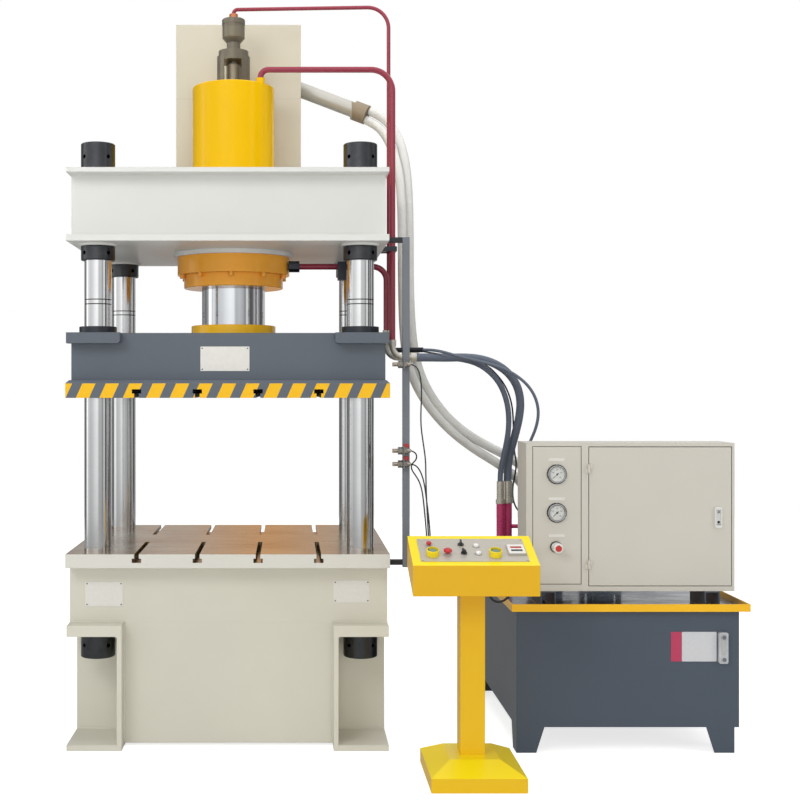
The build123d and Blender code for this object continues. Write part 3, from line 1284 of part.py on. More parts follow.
def motor():
    """Motor frame with fins, fan cowl and terminal box, on an open bell housing."""
    bell_top = LID_TOP + BELL_H
    frame_top = bell_top + MOTOR_L
    cowl_top = frame_top + COWL_H
    outer = MOTOR_D / 2
    inner = outer - MOTOR_WALL
    shaft = SHAFT_D / 2 + RUN
    cowl = outer + FIN_H - COWL_WALL
    profile = [(BELL_D / 2 - BELL_WALL, LID_TOP), (BELL_D / 2, LID_TOP), (BELL_D / 2, bell_top)]
    profile += [(outer, bell_top), (outer, frame_top - MOTOR_END_T)]
    profile += [(outer + FIN_H, frame_top - MOTOR_END_T)]
    profile += [(outer + FIN_H, cowl_top), (SHAFT_D, cowl_top), (SHAFT_D, cowl_top - COWL_WALL)]
    profile += [(cowl, cowl_top - COWL_WALL), (cowl, frame_top), (shaft, frame_top)]
    profile += [(shaft, frame_top - MOTOR_END_T), (inner, frame_top - MOTOR_END_T)]
    profile += [(inner, bell_top + MOTOR_END_T), (shaft, bell_top + MOTOR_END_T), (shaft, bell_top)]
    profile += [(BELL_D / 2 - BELL_WALL, bell_top)]
    body = turned(profile, MOTOR_X, MOTOR_Y)
    fin = block(outer - 1, outer + FIN_H, -FIN_T / 2, FIN_T / 2, bell_top + MOTOR_END_T, frame_top)
    for index in range(MOTOR_FINS):
        body += Pos(MOTOR_X, MOTOR_Y, 0) * Rot(0, 0, 360 / MOTOR_FINS * index) * fin
    window = block(0, BELL_D, -BELL_D / 6, BELL_D / 6, LID_TOP + BELL_H / 4, bell_top - BELL_H / 4)
    for index in range(4):
        body -= Pos(MOTOR_X, MOTOR_Y, 0) * Rot(0, 0, 45 + 90 * index) * window
    slot = block(FAN_D / 8, FAN_D / 2.4, -3, 3, cowl_top - COWL_WALL - 1, cowl_top + 1)
    for index in range(COWL_SLOTS):
        body -= Pos(MOTOR_X, MOTOR_Y, 0) * Rot(0, 0, 360 / COWL_SLOTS * index) * slot
    middle = bell_top + MOTOR_L / 2
    box_x = MOTOR_X + outer - MOTOR_WALL / 2
    body += block(box_x, MOTOR_X + outer + TERMINAL_OUT, MOTOR_Y - TERMINAL_W / 2,
                  MOTOR_Y + TERMINAL_W / 2, middle - TERMINAL_H / 2, middle + TERMINAL_H / 2)
    return body


def motor_rotor():
    """Rotor with its shaft, fan and coupling, down into the pump."""
    bell_top = LID_TOP + BELL_H
    frame_top = bell_top + MOTOR_L
    middle = bell_top + MOTOR_L / 2
    shaft = SHAFT_D / 2
    pump_shaft = PUMP_SHAFT_D / 2
    foot = TANK_TOP - PUMP_SHAFT_IN
    coupling_z = LID_TOP + BELL_H / 3
    fan_z = frame_top + COWL_H / 3
    rotor = ROTOR_D / 2
    profile = [(0, foot), (pump_shaft, foot), (pump_shaft, coupling_z)]
    profile += [(COUPLING_D / 2, coupling_z), (COUPLING_D / 2, coupling_z + COUPLING_L)]
    profile += [(shaft, coupling_z + COUPLING_L), (shaft, middle - ROTOR_L / 2)]
    profile += [(rotor, middle - ROTOR_L / 2), (rotor, middle + ROTOR_L / 2)]
    profile += [(shaft, middle + ROTOR_L / 2), (shaft, fan_z), (SHAFT_D, fan_z)]
    profile += [(SHAFT_D, fan_z + FAN_T), (0, fan_z + FAN_T)]
    body = turned(profile, MOTOR_X, MOTOR_Y)
    blade = block(shaft, FAN_D / 2, -2, 2, fan_z, fan_z + FAN_T)
    for index in range(6):
        body += Pos(MOTOR_X, MOTOR_Y, 0) * Rot(0, 0, 60 * index) * blade
    return body


def pump():
    """Pump under the lid with its suction pipe and strainer."""
    low = TANK_TOP - PUMP_L
    body = upright(MOTOR_X, MOTOR_Y, low, TANK_TOP, PUMP_D)
    body -= upright(MOTOR_X, MOTOR_Y, TANK_TOP - PUMP_SHAFT_IN - 2, TANK_TOP + 1,
                    PUMP_SHAFT_D + 2 * RUN)
    strainer_z = LEG_H + TANK_WALL + STRAINER_GROUND
    suction_x = MOTOR_X - SUCTION_OUT
    body += upright(suction_x, MOTOR_Y, strainer_z, low, SUCTION_D)
    return body + upright(suction_x, MOTOR_Y, strainer_z, strainer_z + STRAINER_H, STRAINER_D)


def valve_manifold():
    """Manifold block with solenoid valves, a port fitting and a cable gland."""
    body = block(MANIFOLD_X0, MANIFOLD_X1, MANIFOLD_Y0, MANIFOLD_Y1, LID_TOP, MANIFOLD_TOP)
    middle = (MANIFOLD_X0 + MANIFOLD_X1) / 2
    for rise in VALVE_RISES:
        z = LID_TOP + rise
        body += block(middle - VALVE_W, middle + VALVE_W, MANIFOLD_Y0 - VALVE_W, MANIFOLD_Y0,
                      z, z + VALVE_H)
        coil_y = MANIFOLD_Y0 - VALVE_W / 2
        for side in (-1, 1):
            start = middle + side * VALVE_W
            body += along_x(start - side, start + side * COIL_L, coil_y, z + VALVE_H / 2, COIL_D)
    body += upright(PORT_FITTING_X, PORT_FITTING_Y, MANIFOLD_TOP - 1, PORT_FITTING_Z, PORT_FITTING_D)
    return body + boot(SIGNAL_ROUTE[::-1], SIGNAL_GLAND_D, SIGNAL_GLAND_L)


def supply_pipe(place, diameter):
    """Upright pipe on a foot flange."""
    x, y = place
    pipe = upright(x, y, LID_TOP, SUPPLY_TOP_Z, diameter)
    return pipe + upright(x, y, LID_TOP, LID_TOP + SUPPLY_FOOT_H, diameter + 2 * SUPPLY_FOOT_WALL)


def supply_pipes():
    """The two supply pipes; a stub joins the wide one to the manifold."""
    x, y = SUPPLY_2
    wide = supply_pipe(SUPPLY_2, SUPPLY_2_D) + along_x(x, MANIFOLD_X0, y, STUB_Z, STUB_D)
    return gather([supply_pipe(SUPPLY_1, SUPPLY_1_D), wide])


def hinge_axis():
    """Where the door's hinge axis stands."""
    return (DOOR_X0 - DOOR_GAP / 2, CABINET_Y0 - HINGE_OUT)


def cabinet_shell():
    """Cabinet of folded sheet with the fixed hinge halves; the gauge panel is marked by grooves."""
    inner_y0 = CABINET_Y0 + CABINET_WALL
    body = block(CABINET_X0, CABINET_X1, CABINET_Y0, CABINET_Y1, CABINET_Z, CABINET_TOP)
    body -= block(CABINET_X0 + CABINET_WALL, CABINET_X1 - CABINET_WALL, inner_y0,
                  CABINET_Y1 - CABINET_WALL, CABINET_Z + CABINET_WALL, CABINET_TOP - CABINET_WALL)
    door_z = CABINET_Z + DOOR_RISE
    body -= block(DOOR_X0 - DOOR_GAP, DOOR_X1 + DOOR_GAP, CABINET_Y0 - 1, inner_y0 + 1,
                  door_z - DOOR_GAP, door_z + DOOR_H + DOOR_GAP)
    panel_z = CABINET_Z + PANEL_RISE
    groove = block(PANEL_X0, PANEL_X1, CABINET_Y0 - 1, CABINET_Y0 + PANEL_GROOVE_DEPTH,
                   panel_z, panel_z + PANEL_H)
    groove -= block(PANEL_X0 + PANEL_GROOVE_W, PANEL_X1 - PANEL_GROOVE_W, CABINET_Y0 - 2,
                    inner_y0, panel_z + PANEL_GROOVE_W, panel_z + PANEL_H - PANEL_GROOVE_W)
    body -= groove
    for rise in GAUGE_RISES:
        body -= along_y(GAUGE_X, CABINET_Y0 - 1, inner_y0 + 1, CABINET_Z + rise,
                        GAUGE_CASE_D + 2 * THROUGH)
    body -= along_y(KNOB_X, CABINET_Y0 - 1, inner_y0 + 1, CABINET_Z + KNOB_RISE,
                    REGULATOR_D + 2 * THROUGH)
    axis_x, axis_y = hinge_axis()
    for rise in HINGE_RISES:
        z = CABINET_Z + rise
        body += block(axis_x - HINGE_LEAF_W, axis_x, axis_y, axis_y + HINGE_LEAF_T, z, z + HINGE_H / 2)
        body += block(axis_x - HINGE_LEAF_W, axis_x - HINGE_LEAF_W / 2, axis_y, CABINET_Y0 + 1,
                      z, z + HINGE_H / 2)
        body += upright(axis_x, axis_y, z, z + HINGE_H / 2, HINGE_D)
        body += upright(axis_x, axis_y, z, z + HINGE_H - 4, HINGE_PIN_D)
    body += boot(CONSOLE_CABLE_ROUTE[::-1], CONSOLE_CABLE_D * 1.8, GLAND_L - 2)
    return body


def cabinet_door():
    """Folded door with its hinge halves and the lock's housing."""
    z0 = CABINET_Z + DOOR_RISE
    z1 = z0 + DOOR_H
    face_y = CABINET_Y0 + DOOR_T
    door = block(DOOR_X0, DOOR_X1, CABINET_Y0, face_y + DOOR_LIP, z0, z1)
    door -= block(DOOR_X0 + DOOR_T, DOOR_X1 - DOOR_T, face_y, face_y + DOOR_LIP + 1,
                  z0 + DOOR_T, z1 - DOOR_T)
    axis_x, axis_y = hinge_axis()
    for rise in HINGE_RISES:
        z = CABINET_Z + rise + HINGE_H / 2 + SEAT
        top = CABINET_Z + rise + HINGE_H
        door += block(axis_x, axis_x + HINGE_LEAF_W, axis_y, axis_y + HINGE_LEAF_T, z, top)
        door += block(axis_x + HINGE_LEAF_W / 2, axis_x + HINGE_LEAF_W, axis_y, CABINET_Y0 + 1, z, top)
        door += upright(axis_x, axis_y, z, top, HINGE_D)
        door -= upright(axis_x, axis_y, z - 1, top - 2, HINGE_PIN_D + 2 * RUN)
    lock_z = CABINET_Z + LOCK_RISE
    housing = block(LOCK_X - LOCK_W / 2, LOCK_X + LOCK_W / 2, CABINET_Y0 - LOCK_T, CABINET_Y0,
                    lock_z - LOCK_H / 2, lock_z + LOCK_H / 2)
    housing = fillet(housing.edges().filter_by(Axis.Y), 5)
    room = HANDLE_W / 2 + TOUCH
    housing -= block(LOCK_X - room, LOCK_X + room, CABINET_Y0 - LOCK_T - 1,
                     CABINET_Y0 - LOCK_T + LOCK_RECESS, lock_z - HANDLE_H / 2 - 2, lock_z + HANDLE_H / 2 + 2)
    housing -= along_x(LOCK_X - room - 3, LOCK_X + room + 3, handle_pivot()[0], handle_pivot()[1],
                       HANDLE_PIN_D + 2 * RUN)
    return door + housing


def handle_pivot():
    """Y and Z of the lock handle's pin."""
    y = CABINET_Y0 - LOCK_T + LOCK_RECESS / 2
    z = CABINET_Z + LOCK_RISE + HANDLE_H / 2 - HANDLE_T / 2
    return (y, z)


def door_handle():
    """Lock handle that hangs in its housing and swings up and out on a pin."""
    y, z = handle_pivot()
    half = HANDLE_T / 2
    bar = block(LOCK_X - HANDLE_W / 2, LOCK_X + HANDLE_W / 2, y - half, y + half,
                z - HANDLE_H + HANDLE_T, z)
    bar += along_x(LOCK_X - HANDLE_W / 2, LOCK_X + HANDLE_W / 2, y, z, HANDLE_T)
    reach = HANDLE_W / 2 + TOUCH + 2
    return bar + along_x(LOCK_X - reach, LOCK_X + reach, y, z, HANDLE_PIN_D)


def cabinet_gear():
    """Mounting plate inside the cabinet with contactors, breakers and a terminal rail."""
    back = CABINET_Y1 - CABINET_WALL
    front = back - GEAR_PLATE_T
    rail = front - GEAR_RAIL_T
    x0 = CABINET_X0 + GEAR_MARGIN_X
    x1 = CABINET_X1 - GEAR_MARGIN_X
    z0 = CABINET_Z + GEAR_MARGIN_Z
    gear = block(x0, x1, front, back, z0, CABINET_TOP - GEAR_MARGIN_Z)
    for rise, height in GEAR_ROWS:
        row = z0 + rise
        gear += block(x0 + GEAR_RAIL_INSET, x1 - GEAR_RAIL_INSET, rail, front, row, row + GEAR_RAIL_H)
        for index in range(8):
            left = x0 + GEAR_FIRST + GEAR_PITCH * index
            gear += block(left, left + GEAR_W, rail - GEAR_DEPTH, rail, row - height / 3, row + height)
    return gear


def gauge(z):
    """Pressure gauge: case behind the panel, notched flange, bezel and recessed dial."""
    case = GAUGE_CASE_D / 2
    flange = GAUGE_FLANGE_D / 2
    bezel = GAUGE_BEZEL_D / 2
    dial = GAUGE_DIAL_D / 2
    dial_out = GAUGE_FLANGE_T + GAUGE_BEZEL_H / 3
    spindle = GAUGE_SPINDLE_D / 2 + RUN
    profile = [(spindle, -CABINET_WALL), (spindle, dial_out), (dial, dial_out)]
    profile += [(dial, GAUGE_BEZEL_H), (bezel - 3, GAUGE_BEZEL_H), (bezel, GAUGE_BEZEL_H - 3)]
    profile += [(bezel, GAUGE_FLANGE_T), (flange, GAUGE_FLANGE_T), (flange, 0), (case, 0)]
    profile += [(case, -GAUGE_CASE_L), (0, -GAUGE_CASE_L), (0, -CABINET_WALL)]
    body = turned(profile)
    for index in range(3):
        turn = math.radians(90 + 120 * index)
        notch = upright(flange * math.cos(turn), flange * math.sin(turn), -1, GAUGE_FLANGE_T + 1, 6)
        body -= notch
    return Pos(GAUGE_X, CABINET_Y0, z) * Rot(90, 0, 0) * body


def regulator():
    """Body of the pressure regulator: ring in front of the panel, valve body behind it."""
    ring = KNOB_RING_D / 2
    bore = KNOB_SHAFT_D / 2 + RUN
    body = REGULATOR_D / 2
    profile = [(bore, -REGULATOR_L / 2), (bore, KNOB_RING_T), (ring - 2, KNOB_RING_T)]
    profile += [(ring, KNOB_RING_T - 2), (ring, 0), (body, 0), (body, -REGULATOR_L)]
    profile += [(0, -REGULATOR_L), (0, -REGULATOR_L / 2)]
    return Pos(KNOB_X, CABINET_Y0, CABINET_Z + KNOB_RISE) * Rot(90, 0, 0) * turned(profile)


def pressure_gauges():
    """Two gauges and the regulator body."""
    pieces = [gauge(CABINET_Z + rise) for rise in GAUGE_RISES]
    return gather(pieces + [regulator()])


def gauge_needle(rise):
    """Needle on its arbor, resting at the lower left of the dial."""
    dial_out = GAUGE_FLANGE_T + GAUGE_BEZEL_H / 3
    low = dial_out + NEEDLE_LIFT
    needle = upright(0, 0, low, low + 2 * NEEDLE_T, NEEDLE_HUB_D)
    needle += upright(0, 0, 0, low + NEEDLE_T, GAUGE_SPINDLE_D)
    outline = [(-NEEDLE_W / 2, -NEEDLE_TAIL), (NEEDLE_W / 2, -NEEDLE_TAIL), (0.5, NEEDLE_L)]
    outline += [(-0.5, NEEDLE_L)]
    blade = extrude(make_face(Polyline(*outline, close=True)), amount=NEEDLE_T)
    needle += Pos(0, 0, low) * Rot(0, 0, 135) * blade
    return Pos(GAUGE_X, CABINET_Y0, CABINET_Z + rise) * Rot(90, 0, 0) * needle


def pressure_knob():
    """Fluted adjusting knob with a cap, on its spindle."""
    low = KNOB_RING_T + TOUCH
    top = low + KNOB_L
    radius = KNOB_D / 2
    profile = [(0, low), (radius, low), (radius, top - 3), (radius - 3, top)]
    profile += [(KNOB_CAP_D / 2, top), (KNOB_CAP_D / 2, top + KNOB_CAP_T), (0, top + KNOB_CAP_T)]
    knob = turned(profile)
    for index in range(10):
        turn = math.radians(36 * index)
        knob -= upright(radius * 1.06 * math.cos(turn), radius * 1.06 * math.sin(turn),
                        low + 6, top + 1, 6)
    knob += upright(0, 0, low - REGULATOR_L / 3, low + 1, KNOB_SHAFT_D)
    return Pos(KNOB_X, CABINET_Y0, CABINET_Z + KNOB_RISE) * Rot(90, 0, 0) * knob


def console_stand():
    """Pedestal: rimmed foot with sloping sides, and a square post cut to the box's slope."""
    middle_y = (FOOT_Y0 + FOOT_Y1) / 2
    depth = FOOT_Y1 - FOOT_Y0
    foot = Pos(CONSOLE_X, middle_y, FOOT_RIM_H / 2) * Box(FOOT_W, depth, FOOT_RIM_H)
    low = Pos(CONSOLE_X, middle_y, FOOT_RIM_H) * Rectangle(FOOT_W, depth)
    high = Pos(CONSOLE_X, CONSOLE_Y, FOOT_TOP_Z) * Rectangle(FOOT_TOP_W, FOOT_TOP_L)
    foot += loft([low, high])
    post_top = BOX_FRONT_Z + BOX_RISE
    half = POST_W / 2
    post = block(CONSOLE_X - half, CONSOLE_X + half, CONSOLE_Y - half, CONSOLE_Y + half,
                 FOOT_TOP_Z - 1, post_top)
    inner = half - POST_WALL
    post -= block(CONSOLE_X - inner, CONSOLE_X + inner, CONSOLE_Y - inner, CONSOLE_Y + inner,
                  FOOT_TOP_Z, post_top + 1)
    stand = foot + post
    return stand - console_prism(0, 2 * BOX_H)


def console_prism(inset, extra=0.0):
    """The console box's outline along X, shrunk by a wall or raised by an extra height."""
    front = BOX_FRONT_Y + inset
    rear = BOX_REAR_Y - inset
    slope = math.tan(math.radians(BOX_SLOPE))
    shift = inset / math.cos(math.radians(BOX_SLOPE))
    low_front = BOX_FRONT_Z + inset * slope + shift
    low_rear = BOX_FRONT_Z + (rear - BOX_FRONT_Y) * slope + shift
    high_front = BOX_FRONT_Z + BOX_H + inset * slope - shift + extra
    high_rear = BOX_FRONT_Z + BOX_H + (rear - BOX_FRONT_Y) * slope - shift + extra
    half = BOX_L / 2 - inset
    outline = [(front, low_front), (front, high_front), (rear, high_rear), (rear, low_rear)]
    face = make_face(Polyline(*[(CONSOLE_X - half, y, z) for y, z in outline], close=True))
    return extrude(face, amount=2 * half, dir=(1, 0, 0))


def console_plane(place, lift=0.0):
    """Frame on the sloping top of the console box: X right, Y up the slope, Z out."""
    offset, distance = place
    tilt = math.radians(BOX_SLOPE)
    y = BOX_FRONT_Y + distance * math.cos(tilt) - lift * math.sin(tilt)
    z = BOX_FRONT_Z + BOX_H + distance * math.sin(tilt) + lift * math.cos(tilt)
    return Location((CONSOLE_X + offset, y, z), (BOX_SLOPE, 0, 0))


def control_places():
    """Places of the controls whose stems pass through panel and box."""
    return (GREEN_LEFT, GREEN_RIGHT, RESET, STOP, SELECTOR_LEFT, SELECTOR_RIGHT)


def stem_bore(place):
    """Hole for a control's stem, through panel and box wall."""
    bore = upright(0, 0, -2 * BOX_WALL, PANEL_T + BEZEL_H + 1, STEM_D + 2 * RUN)
    return console_plane(place) * bore


def console_box():
    """Folded sheet box on the post, with its sloping top drilled for the controls."""
    box = console_prism(0) - console_prism(BOX_WALL)
    for place in control_places():
        box -= stem_bore(place)
    for route in (CABLE_1_ROUTE, CABLE_2_ROUTE, CABLE_3_ROUTE):
        box += boot(route[::-1], SENSOR_CABLE_D * 2, GLAND_L)
    box += boot(CONSOLE_CABLE_ROUTE, CONSOLE_CABLE_D * 1.8, GLAND_L + 2)
    return box


def console_panel():
    """Control panel plate with bezels, lamps and the display."""
    middle = (0, PANEL_FRONT_GAP + PANEL_W / 2)
    plate = console_plane(middle) * Pos(0, 0, PANEL_T / 2) * Box(PANEL_L, PANEL_W, PANEL_T)
    for place in (RESET, STOP, SELECTOR_LEFT, SELECTOR_RIGHT) + LAMPS:
        plate += console_plane(place) * upright(0, 0, PANEL_T / 2, PANEL_T + BEZEL_H, BEZEL_D)
    lens_top = PANEL_T + BEZEL_H + LAMP_H
    for place in LAMPS:
        lens = turned([(0, PANEL_T), (LAMP_D / 2, PANEL_T), (LAMP_D / 2, lens_top - 4),
                       (LAMP_D / 2 - 4, lens_top), (0, lens_top)])
        plate += console_plane(place) * lens
    display = Pos(0, 0, (PANEL_T + DISPLAY_H) / 2) * Box(DISPLAY_W, DISPLAY_L, PANEL_T + DISPLAY_H)
    plate += console_plane(DISPLAY) * display
    for place in control_places():
        plate -= stem_bore(place)
    return plate


def button_shrouds():
    """Guard rings round the two palm buttons."""
    shrouds = []
    for place in (GREEN_LEFT, GREEN_RIGHT):
        outer = SHROUD_D / 2
        inner = outer - SHROUD_WALL
        top = PANEL_T + SHROUD_H
        profile = [(inner, PANEL_T), (outer, PANEL_T), (outer, top - 2), (outer - 2, top), (inner, top)]
        shrouds.append(console_plane(place) * turned(profile))
    return gather(shrouds)


def push_button(place, diameter, lift, height, edge):
    """Button cap on a stem that slides in the panel."""
    low = PANEL_T + lift
    top = low + height
    radius = diameter / 2
    stem = STEM_D / 2
    profile = [(0, -STEM_IN), (stem, -STEM_IN), (stem, low), (radius, low), (radius, top - edge)]
    profile += [(radius - edge, top), (0, top)]
    return console_plane(place) * turned(profile)


def stop_button():
    """Mushroom-headed stop button."""
    low = PANEL_T + STOP_LIFT
    top = low + STOP_CAP_H
    radius = STOP_D / 2
    stem = STEM_D / 2
    neck = STEM_D / 2 + 3
    profile = [(0, -STEM_IN), (stem, -STEM_IN), (stem, low - 2), (neck, low - 2), (neck, low)]
    profile += [(radius - 3, low), (radius, low + 3), (radius, top - 6), (radius - 6, top - 1), (0, top)]
    return console_plane(STOP) * turned(profile)


def selector(place, lean):
    """Rotary selector: round base with a raised grip, on its stem."""
    low = PANEL_T + BEZEL_H + TOUCH
    top = low + KNOB_BASE_H
    base = KNOB_BASE_D / 2
    stem = STEM_D / 2
    knob = turned([(0, -STEM_IN), (stem, -STEM_IN), (stem, low), (base, low), (base, top - 1),
                   (base - 1, top), (0, top)])
    grip = Pos(0, 0, top + KNOB_GRIP_H / 2 - 1) * Box(KNOB_GRIP_W, KNOB_BASE_D - 1, KNOB_GRIP_H)
    knob += Rot(0, 0, lean) * fillet(grip.edges().filter_by(Axis.Z), 2)
    return console_plane(place) * knob


NODES = {
    "base_frame": base_frame(),
    "table_plate": table_plate(),
    "columns": gather(column(sx * COLUMN_X, sy * COLUMN_Y) for sx, sy in QUADRANTS),
    "column_nuts": column_nuts(),
    "crosshead": crosshead(),
    "cylinder_barrel": cylinder_barrel(),
    "gland_ring": gland_ring(),
    "flange_bolts": flange_bolts(),
    "ram": ram(),
    "ram_collar": ram_collar(),
    "platen": platen(),
    "guide_bushes": guide_bushes(),
    "prefill_body": prefill_body(),
    "prefill_poppet": prefill_poppet(),
    "prefill_cap": prefill_cap(),
    "fill_tank": fill_tank(),
    "pilot_pipe": pilot_pipe(),
    "pressure_pipe": pressure_pipe(),
    "rod_pipe": rod_pipe(),
    "line_fittings": line_fittings(),
    "hose_fittings": hose_fittings(),
    "main_hose_1": cord("main_hose_1", HOSE_1_ROUTE, HOSE_1_D),
    "main_hose_2": cord("main_hose_2", HOSE_2_ROUTE, HOSE_2_D),
    "pilot_hose": cord("pilot_hose", PILOT_ROUTE, PILOT_HOSE_D),
    "return_hose_1": cord("return_hose_1", RETURN_1_ROUTE, RETURN_HOSE_D),
    "return_hose_2": cord("return_hose_2", RETURN_2_ROUTE, RETURN_HOSE_D),
    "signal_cable": cord("signal_cable", SIGNAL_ROUTE, SIGNAL_D),
    "sensor_cable_1": cord("sensor_cable_1", CABLE_1_ROUTE, SENSOR_CABLE_D),
    "sensor_cable_2": cord("sensor_cable_2", CABLE_2_ROUTE, SENSOR_CABLE_D),
    "sensor_cable_3": cord("sensor_cable_3", CABLE_3_ROUTE, SENSOR_CABLE_D),
    "console_cable": cord("console_cable", CONSOLE_CABLE_ROUTE, CONSOLE_CABLE_D),
    "sensor_mast": sensor_mast(),
    "proximity_sensors": proximity_sensors(),
    "tank_shell": tank_shell(),
    "tank_lid": tank_lid(),
    "drip_rim": drip_rim(),
    "level_gauge": level_gauge(),
    "motor": motor(),
    "motor_rotor": motor_rotor(),
    "pump": pump(),
    "valve_manifold": valve_manifold(),
    "supply_pipes": supply_pipes(),
    "cabinet_shell": cabinet_shell(),
    "cabinet_gear": cabinet_gear(),
    "cabinet_door": cabinet_door(),
    "door_handle": door_handle(),
    "pressure_gauges": pressure_gauges(),
    "gauge_needle_1": gauge_needle(GAUGE_RISES[0]),
    "gauge_needle_2": gauge_needle(GAUGE_RISES[1]),
    "pressure_knob": pressure_knob(),
    "console_stand": console_stand(),
    "console_box": console_box(),
    "console_panel": console_panel(),
    "button_shrouds": button_shrouds(),
    "green_button_left": push_button(GREEN_LEFT, GREEN_D, GREEN_LIFT, GREEN_H, 4),
    "green_button_right": push_button(GREEN_RIGHT, GREEN_D, GREEN_LIFT, GREEN_H, 4),
    "reset_button": push_button(RESET, RESET_D, RESET_LIFT, RESET_H, 1.5),
    "stop_button": stop_button(),
    "selector_left": selector(SELECTOR_LEFT, 0),
    "selector_right": selector(SELECTOR_RIGHT, 25),
}

for node, shape in NODES.items():
    export_step(shape, f"parts/{node}.step")
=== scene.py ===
import math

import bmesh
import bpy
from bpy.props import FloatProperty, FloatVectorProperty, PointerProperty
from mathutils import Matrix, Vector


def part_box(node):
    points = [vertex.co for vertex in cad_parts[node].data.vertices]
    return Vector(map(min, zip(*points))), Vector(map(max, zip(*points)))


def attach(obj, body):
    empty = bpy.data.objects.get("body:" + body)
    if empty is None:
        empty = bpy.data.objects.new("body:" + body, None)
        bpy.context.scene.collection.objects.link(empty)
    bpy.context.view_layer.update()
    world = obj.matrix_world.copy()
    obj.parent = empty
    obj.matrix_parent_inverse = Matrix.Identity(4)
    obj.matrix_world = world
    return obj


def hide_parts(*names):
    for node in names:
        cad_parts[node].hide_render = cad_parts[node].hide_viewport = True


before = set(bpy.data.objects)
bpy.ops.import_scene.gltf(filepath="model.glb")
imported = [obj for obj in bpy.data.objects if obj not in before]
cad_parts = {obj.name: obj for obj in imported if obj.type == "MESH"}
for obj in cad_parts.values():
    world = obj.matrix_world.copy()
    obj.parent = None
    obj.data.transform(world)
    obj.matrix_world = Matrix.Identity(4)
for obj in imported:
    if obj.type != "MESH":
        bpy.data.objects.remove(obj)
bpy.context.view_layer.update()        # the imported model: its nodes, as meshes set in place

bl_info = {
    "name": "Column hydraulic press",
    "version": (1, 0, 0),
    "blender": (4, 5, 0),
    "location": "3D View > Sidebar > Press",
    "description": "Finishes, hoses, cables and small fittings of a column hydraulic press",
    "category": "Object",
}

# Metres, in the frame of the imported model: X right, Y to the rear, Z up.

# Hose and cable routes, from the press end to the power unit
HOSE_1_ROUTE = (
    (0.865, -0.066, 1.707), (0.923, -0.066, 1.707), (0.994, -0.052, 1.707), (1.082, -0.026, 1.702),
    (1.16, -0.004, 1.683), (1.223, 0.018, 1.644), (1.275, 0.038, 1.589), (1.309, 0.056, 1.518),
    (1.326, 0.073, 1.438), (1.327, 0.089, 1.356), (1.315, 0.104, 1.274), (1.301, 0.117, 1.203),
    (1.293, 0.125, 1.155), (1.293, 0.125, 1.109),
)
HOSE_2_ROUTE = (
    (0.86, -0.114, 1.707), (0.93, -0.114, 1.707), (1.01, -0.096, 1.706), (1.089, -0.071, 1.709),
    (1.168, -0.048, 1.703), (1.243, -0.022, 1.681), (1.31, 0.008, 1.64), (1.36, 0.038, 1.578),
    (1.383, 0.068, 1.499), (1.379, 0.094, 1.414), (1.362, 0.124, 1.325), (1.344, 0.15, 1.243),
    (1.335, 0.162, 1.175), (1.335, 0.162, 1.109),
)
PILOT_ROUTE = (
    (0.893, -0.0971433, 1.743), (0.935, -0.11243, 1.743), (0.99, -0.132, 1.731), (1.053, -0.147, 1.711),
    (1.124, -0.155, 1.694), (1.195, -0.158, 1.677), (1.262, -0.16, 1.655), (1.325, -0.158, 1.62),
    (1.379, -0.154, 1.573), (1.415, -0.148, 1.513), (1.428, -0.14, 1.445), (1.417, -0.13, 1.377),
    (1.394, -0.112, 1.316), (1.372, -0.084, 1.25), (1.378, -0.042, 1.19), (1.4, 0, 1.152),
    (1.426, 0.036, 1.128), (1.448, 0.066, 1.106), (1.465, 0.091, 1.072), (1.47, 0.105, 1.027),
    (1.47, 0.105, 0.985),
)
SIGNAL_ROUTE = (
    (0.88, -0.07, 1.743), (0.88, -0.046, 1.743), (0.892, -0.02, 1.74), (0.925, -0.004, 1.734),
    (0.968, 0.002, 1.728), (1.025, 0.006, 1.719), (1.092, 0.016, 1.708), (1.16, 0.034, 1.69),
    (1.221, 0.05, 1.67), (1.262, 0.062, 1.633), (1.3, 0.072, 1.588), (1.328, 0.082, 1.535),
    (1.348, 0.104, 1.473), (1.357, 0.128, 1.406), (1.362, 0.152, 1.326), (1.37, 0.172, 1.252),
    (1.384, 0.188, 1.192), (1.378, 0.2, 1.134), (1.367, 0.2, 1.08), (1.366, 0.196, 1.022),
    (1.378, 0.184, 0.978), (1.402, 0.172, 0.948), (1.432, 0.17, 0.94),
)
RETURN_1_ROUTE = (
    (0.65, 0.308, 2.908), (0.692, 0.289, 2.884), (0.739, 0.254, 2.831), (0.775, 0.208, 2.744),
    (0.803, 0.17, 2.635), (0.813, 0.137, 2.49), (0.815, 0.12, 2.3), (0.816, 0.122, 2.08),
    (0.822, 0.14, 1.88), (0.838, 0.168, 1.72), (0.884, 0.196, 1.585), (0.96, 0.219, 1.463),
    (1.062, 0.236, 1.352), (1.18, 0.247, 1.262), (1.3, 0.253, 1.19), (1.402, 0.256, 1.117),
    (1.468, 0.259, 1.012), (1.495, 0.261, 0.88), (1.5, 0.262, 0.77), (1.5, 0.262, 0.7),
)
RETURN_2_ROUTE = (
    (0.67, 0.308, 2.952), (0.716, 0.292, 2.928), (0.768, 0.265, 2.877), (0.815, 0.232, 2.788),
    (0.84, 0.2, 2.668), (0.85, 0.172, 2.52), (0.853, 0.158, 2.33), (0.853, 0.16, 2.11),
    (0.861, 0.176, 1.9), (0.881, 0.2, 1.735), (0.924, 0.222, 1.597), (1.004, 0.24, 1.467),
    (1.108, 0.252, 1.362), (1.232, 0.259, 1.284), (1.360, 0.262, 1.222), (1.465, 0.262, 1.142),
    (1.536, 0.262, 1.035), (1.566, 0.262, 0.9), (1.57, 0.262, 0.78), (1.57, 0.262, 0.7),
)
